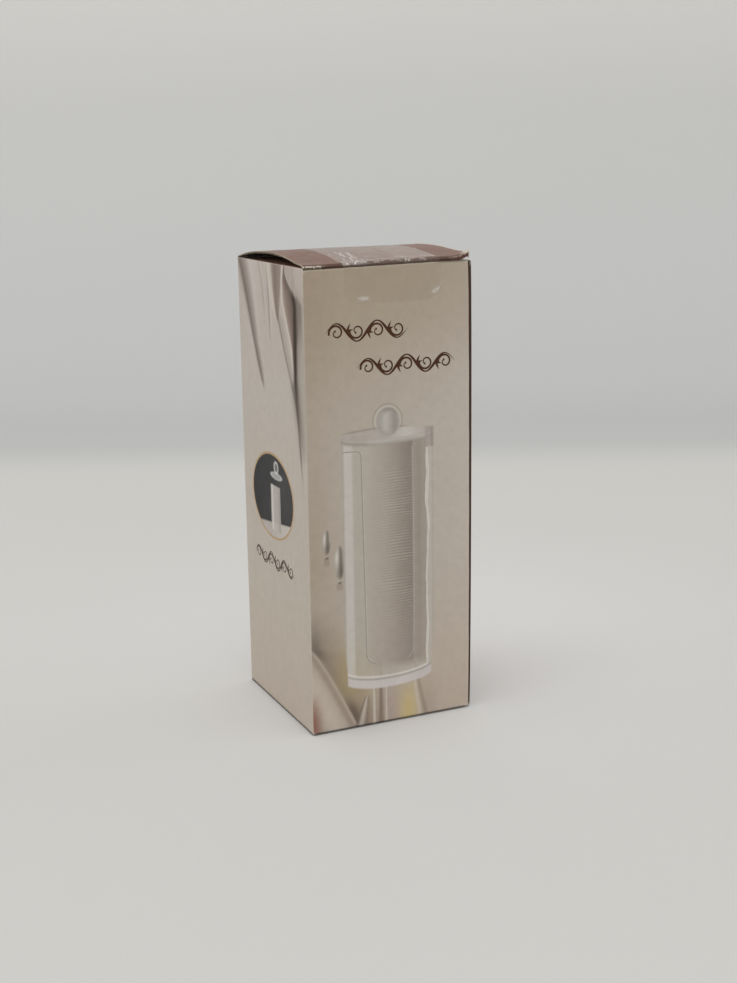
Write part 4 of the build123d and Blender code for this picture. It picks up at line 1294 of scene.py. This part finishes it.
def running_scroll(middle, length, bays, width):
    """Running scroll: a stem waves as a sine along the line, and in each of its bays a branch winds inwards
    as a spiral, r = r0 (1 - 0.8 t), ending in a drop. A leaf stands at each crossing."""
    bay = length / bays
    share = np.linspace(0, 1, 48 * bays)
    swing = 0.44 * bay * np.sin(math.pi * bays * share) * (0.82 + 0.18 * np.sin(math.pi * share))
    stem = points_at(middle[0] + (share - 0.5) * length, middle[1] + swing)
    swell = 0.5 + 0.5 * np.cos(2 * math.pi * bays * share)
    ends = np.clip(8 * np.minimum(share, 1 - share), 0.1, 1)
    strokes = [(stem, (0.25 + width * (0.35 + 0.65 * swell)) * ends)]
    t = np.linspace(0, 1, 70)
    for index in range(bays):
        side = 1 if index % 2 == 0 else -1
        centre = np.array([middle[0] + (index + 0.5) * bay - length / 2, middle[1] - 0.02 * side * bay])
        radius = 0.36 * bay * (1 - 0.8 * t)
        angle = math.pi * (1.08 - 2.5 * t**0.85)
        curl = centre + points_at(radius * np.cos(angle), side * radius * np.sin(angle))
        strokes.append((curl, 0.2 + width * 0.75 * (1 - t) ** 0.7 + 0.9 * width * bump(t - 0.95, 0.05)))
    for index in range(1, bays):
        side = -1 if index % 2 == 0 else 1
        crossing = (middle[0] + index * bay - length / 2, middle[1])
        for heading, reach in ((64, 0.42), (18, 0.34)):
            strokes.append(leaf(crossing, side * heading, reach * bay, 0.9 * width))
    return strokes


def draw(name, way, strokes, colour, lift=LAYER):
    """One piece of ink strokes on a wall."""
    solid = join([stroke(way, *line, lift + index * STACK) for index, line in enumerate(strokes)])
    ink = np.concatenate([np.broadcast_to(colour, (len(solid[0]), 3)), np.zeros((len(solid[0]), 1))], -1)
    return piece(name, solid, [stroke_ink], None, "printed_board", "carton", ink=ink)


front_strokes = running_scroll((-10.5, 173.5), 37, 4, 0.92) + running_scroll((7.5, 158.5), 45, 5, 0.92)
draw("front_flourish", "front", front_strokes, BROWN)
draw("back_flourish", "back", front_strokes, BROWN)
left_strokes = running_scroll((-2.5, 68.0), 47, 6, 0.8)
draw("left_flourish", "left", left_strokes, tone(78, 58, 50))

# Outlines of the organizer picture: of its slot, and the bright wall to its right
slot_left, slot_right = PIC_SLOT
LINE_TOP, LINE_FOOT, LINE_R, FOOT_R = 123.3, 33.0, 2.5, 4.5
bend = np.linspace(0, math.pi / 2, 10)
arm = np.linspace(LINE_TOP, LINE_FOOT, 60)
foot_a, foot_z = FOOT_R * (1 - np.cos(bend)), LINE_FOOT - FOOT_R * np.sin(bend)
shoulder_z = LINE_TOP - LINE_R
left_line = np.concatenate([
    points_at(np.linspace(slot_left - 10.2, slot_left - 4, 8), LINE_TOP)[:-1],
    points_at(slot_left - 4 + LINE_R * np.sin(bend), shoulder_z + LINE_R * np.cos(bend)),
    points_at(slot_left - 1.5 + 1.5 * (shoulder_z - arm) / 88, np.minimum(arm, shoulder_z))[2:],
    points_at(slot_left + foot_a, foot_z)[1:],
])
right_line = points_at(slot_right + 0.4 * np.sin((120 - arm) / 30), arm)
right_line = np.concatenate([right_line, points_at(right_line[-1, 0] - foot_a, foot_z)[1:]])
wall_z = np.linspace(122, 25, 90)
white_a = 16.8 + 0.35 * wander(wall_z, 34, 41) + 0.9 * bump((wall_z - 88) / 6, 1)
white_line = points_at(white_a, wall_z)
pale = [
    (left_line + [0.42, 0.38], np.full(len(left_line), 0.3)),
    (right_line + [0.35, 0], np.full(len(right_line), 0.16)),
]
white = [(white_line, 0.75 + 0.8 * bump((wall_z - 106) / 14, 1) + 0.5 * bump((wall_z - 36) / 9, 1)
          + 0.3 * np.abs(wander(wall_z, 9, 44)))]
dark = [(left_line, np.full(len(left_line), 0.4)), (right_line - [0.2, 0], np.full(len(right_line), 0.35))]
for word in ("front", "back"):
    draw(f"{word}_picture_lights", word, pale, tone(190, 184, 175))
    draw(f"{word}_picture_edge", word, white, tone(203, 197, 188), LAYER + 3 * STACK)
    draw(f"{word}_picture_lines", word, dark, tone(154, 147, 136), LAYER + 5 * STACK)

# Oval inset on the left wall: the organizer with its lid lifted, on a pale table before a slate ground
OVAL_A, OVAL_Z, OVAL_W, OVAL_H = -2.5, 98.0, 25.0, 19.5
RIM_W = 1.0


def oval_ink(a, z):
    """Slate ground, a pale table below a slanted line, a stack of pads in a clear tube and a lifted lid."""
    colour = ground(a, 51, 50, 51)
    lay(colour, 0.5 * bump(np.hypot(a - 12, (z - 104)) / 14, 1), 66, 65, 65)
    lay(colour, 0.45 * ramp(a, -6, -24), 43, 42, 43)
    table = ramp(z, 86.6 + 0.12 * a, 85.8 + 0.12 * a)
    lay(colour, table, 178, 170, 162)
    lay(colour, 0.5 * table * ramp(a, -6, 12), 204, 198, 190)
    tube = (1 - ramp(np.abs(a - 1), 5.4, 5.8)) * ramp(z, 82.6, 83.0) * ramp(z, 103.4, 103.0)
    lay(colour, 0.85 * tube, 190, 183, 174)
    lay(colour, 0.7 * tube * bump(a + 2.6, 1.0), 222, 218, 212)
    lay(colour, 0.5 * tube * ramp(a, 2.5, 6), 140, 134, 128)
    lines = 0.5 + 0.5 * np.sin(z * 2 * math.pi / 1.3)
    lay(colour, 0.25 * tube * lines * (np.abs(a - 1) < 4.2), 150, 142, 134)
    lid = np.hypot((a - 2.5) / 6.2, (z - 107.8) / 1.4)
    lay(colour, 0.8 * ramp(lid, 1.05, 0.9), 176, 174, 170)
    lay(colour, 0.6 * bump((lid - 1) * 4, 0.6), 226, 224, 220)
    ball = np.hypot(a - 2.5, z - 111.6) / 2.6
    lay(colour, 0.6 * ramp(ball, 1.05, 0.9), 132, 130, 128)
    return lay(colour, 0.8 * bump((ball - 0.9) * 4, 0.7), 222, 220, 216)


rows = np.linspace(0, 1, 56)[:, None] ** 0.9
round_angle = np.linspace(0, 2 * math.pi, 220, endpoint=False)
reach_a, reach_z = OVAL_W - RIM_W / 2, OVAL_H - RIM_W / 2
oval_a = OVAL_A + reach_a * rows[1:] * np.cos(round_angle)
oval_z = OVAL_Z + reach_z * rows[1:] * np.sin(round_angle)
n_rows, n_cols = oval_a.shape
o = np.arange(n_rows * n_cols).reshape(n_rows, n_cols)
nxt = np.roll(o, -1, 1)
count = n_rows * n_cols
low_ring = count + 1 + np.arange(n_cols)
oval_faces = quads(o[:-1], o[1:], nxt[1:], nxt[:-1]).tolist()
oval_faces += np.stack([np.full(n_cols, count), o[0], nxt[0]], -1).tolist()
oval_faces += quads(o[-1], low_ring, np.roll(low_ring, -1), nxt[-1]).tolist()
oval_faces += [low_ring[::-1].tolist()]
oval_points = np.concatenate([
    on_wall("left", oval_a, -LAYER, oval_z).reshape(-1, 3),
    on_wall("left", np.array([OVAL_A]), -LAYER, np.array([OVAL_Z])),
    on_wall("left", oval_a[-1], SUNK, oval_z[-1])])
oval_colours = with_wear(oval_ink(oval_a, oval_z), 0 * oval_a)
centre_colour = with_wear(oval_ink(np.array([OVAL_A]), np.array([OVAL_Z])), np.zeros(1))
piece("left_inset_picture", (oval_points, oval_faces, np.zeros(len(oval_faces), int)), [stroke_ink], None,
      "printed_board", "carton", ink=np.concatenate([oval_colours, centre_colour, oval_colours[-n_cols:]]))
rim_angle = np.linspace(0, 2 * math.pi, 200)
rim_line = points_at(OVAL_A + reach_a * np.cos(rim_angle), OVAL_Z + reach_z * np.sin(rim_angle))
draw("left_inset_rim", "left", [(rim_line, np.full(200, RIM_W))], tone(178, 149, 108), lift=2 * LAYER)

# Studio

WALL_BACK = 1000.0
COVE_R = 300.0
FAR = 2600.0                             # how far the sweep reaches
NEAR, FINE = 300.0, 440.0                # its finer middle: to each side, and towards its wall
FLOOR_GAP = 0.02                         # it lies this far under the carton
AZIMUTH = math.radians(24.535)           # the camera's heading, which the sweep faces
turn = np.linspace(0, math.pi / 2, 40)[1:]
cove = WALL_BACK - COVE_R
floor_reach = np.concatenate([
    np.linspace(-FAR, -NEAR, 18), np.linspace(-NEAR, FINE, 40)[1:], np.linspace(FINE, cove, 40)[1:]])
upright = np.linspace(COVE_R, FAR, 21)[1:]
reach = np.concatenate([floor_reach, cove + COVE_R * np.sin(turn), np.full_like(upright, WALL_BACK)])[:, None]
height = np.concatenate([np.zeros_like(floor_reach), COVE_R * (1 - np.cos(turn)), upright])[:, None]
across = np.concatenate([
    np.linspace(-FAR, -NEAR, 12), np.linspace(-NEAR, NEAR, 33)[1:-1], np.linspace(NEAR, FAR, 12)])
sweep_x = reach * math.sin(AZIMUTH) + across * math.cos(AZIMUTH)
sweep_y = reach * math.cos(AZIMUTH) - across * math.sin(AZIMUTH)
sweep = points_at(sweep_x, sweep_y, height - FLOOR_GAP)
# Painted light: a paler pool on the floor round the carton lifts its shadow, and painted shade darkens the
# floor towards the front outside it.
painted_light_pool = bump(np.hypot(reach - 50, across - 30) / 150, 1)
floor_tone = lay(ground(sweep_x, 215, 214, 210), painted_light_pool, 231, 230, 228)
lay(floor_tone, 0.8 * ramp(reach, 120, -120) * (1 - painted_light_pool), 210, 209, 205)
# Painted shade and light on the sweep: its wall darker at its foot and paler upwards, and that wall tone laid
# over the floor from 470 to 590 mm.
wall_share = np.clip((height + 31) / 410, 0, 1) ** 2.2
wall_tone = lay(ground(sweep_x, 200, 201, 199), wall_share, 222, 221, 217)
paper_tone = lay(floor_tone, ramp(reach, 470, 590), wall_tone)
o = np.arange(sweep_x.size).reshape(sweep_x.shape)
sweep_faces = quads(o[:-1, :-1], o[:-1, 1:], o[1:, 1:], o[1:, :-1])
paper_ink = with_wear(paper_tone, 1 + 0 * sweep_x).ravel()
studio = bpy.data.meshes.new("studio_sweep")
studio.from_pydata((sweep.reshape(-1, 3) * MM).tolist(), [], sweep_faces.tolist())
studio.polygons.foreach_set("use_smooth", np.ones(len(studio.polygons), bool))
studio.attributes.new("tone", "FLOAT_COLOR", "POINT").data.foreach_set("color", paper_ink)
paper = Paint("studio_paper")
paper_attribute = paper.add("Attribute", attribute_name="tone")
mottle = paper.span(paper.noise(0.004, 4), 0.3, 0.7, 0.0, 0.02)
paper.feed("Base Color", paper.mix(mottle, paper_attribute.outputs["Color"], tone(180, 178, 172)))
paper.feed("Roughness", 0.7)
paper.feed("Specular IOR Level", 0.2)
studio.materials.append(paper.material)
floor = bpy.data.objects.new("studio_sweep", studio)
bpy.context.scene.collection.objects.link(floor)

world = bpy.data.worlds.new("soft_studio")
world.use_nodes = True
sky = world.node_tree.nodes["Background"]
sky.inputs["Color"].default_value = (0.97, 0.97, 0.985, 1)
sky.inputs["Strength"].default_value = 0.77
bpy.context.scene.world = world


def placed(name, data, right, up, back, place):
    """Object in the scene with its three axes and its place in metres."""
    thing = bpy.data.objects.new(name, data)
    bpy.context.scene.collection.objects.link(thing)
    matrix = np.eye(4)
    matrix[:3, 0], matrix[:3, 1], matrix[:3, 2], matrix[:3, 3] = right, up, back, place
    thing.matrix_world = Matrix(matrix.tolist())
    return thing


def soft_light(name, place, aim, width, height, power, colour):
    """Large area lamp at a place in metres, facing a point."""
    lamp = bpy.data.lights.new(name, "AREA")
    lamp.shape = "RECTANGLE"
    lamp.size, lamp.size_y = width, height
    lamp.energy = power
    lamp.color = colour
    back = np.array(place, float) - np.array(aim, float)
    back /= np.linalg.norm(back)
    right = np.cross([0, 0, 1], back)
    right /= np.linalg.norm(right)
    placed(name, lamp, right, np.cross(back, right), back, place).visible_camera = False


soft_light("overhead", (-0.3, -0.2, 1.5), (0, 0.1, 0), 2.2, 2.2, 6.0, (1, 0.99, 0.97))
soft_light("left_window", (-1.5, 0.1, 0.7), (0, 0, 0.1), 1.4, 1.4, 3.3, (1, 0.99, 0.98))
soft_light("right_window", (1.4, 0.5, 0.8), (0, 0, 0.1), 1.4, 1.4, 2.2, (1, 0.99, 0.98))
soft_light("front_fill", (-0.1, -1.6, 0.6), (0, 0, 0.1), 1.6, 1.2, 2.6, (1, 0.99, 0.97))

# Camera, fitted to the carton's corners in the photograph
IMAGE_H = 983
FOCAL = 1438.99                          # in pixels
ELEVATION, ROLL = math.radians(-13.399), math.radians(-0.779)
EYE = np.array([-256.16, -575.96, 246.26])
flat = math.cos(ELEVATION)
look = np.array([math.sin(AZIMUTH) * flat, math.cos(AZIMUTH) * flat, math.sin(ELEVATION)])
level = np.cross(look, [0, 0, 1])
level /= np.linalg.norm(level)
above = np.cross(level, look)
lens = bpy.data.cameras.new("camera")
lens.sensor_width = 36.0
lens.lens = FOCAL * lens.sensor_width / IMAGE_H
lens.clip_start, lens.clip_end = 0.01, 20
camera = placed("camera", lens, math.cos(ROLL) * level + math.sin(ROLL) * above,
                -math.sin(ROLL) * level + math.cos(ROLL) * above, -look, EYE * MM)
bpy.context.scene.camera = camera
bpy.context.scene.view_settings.view_transform = "Standard"
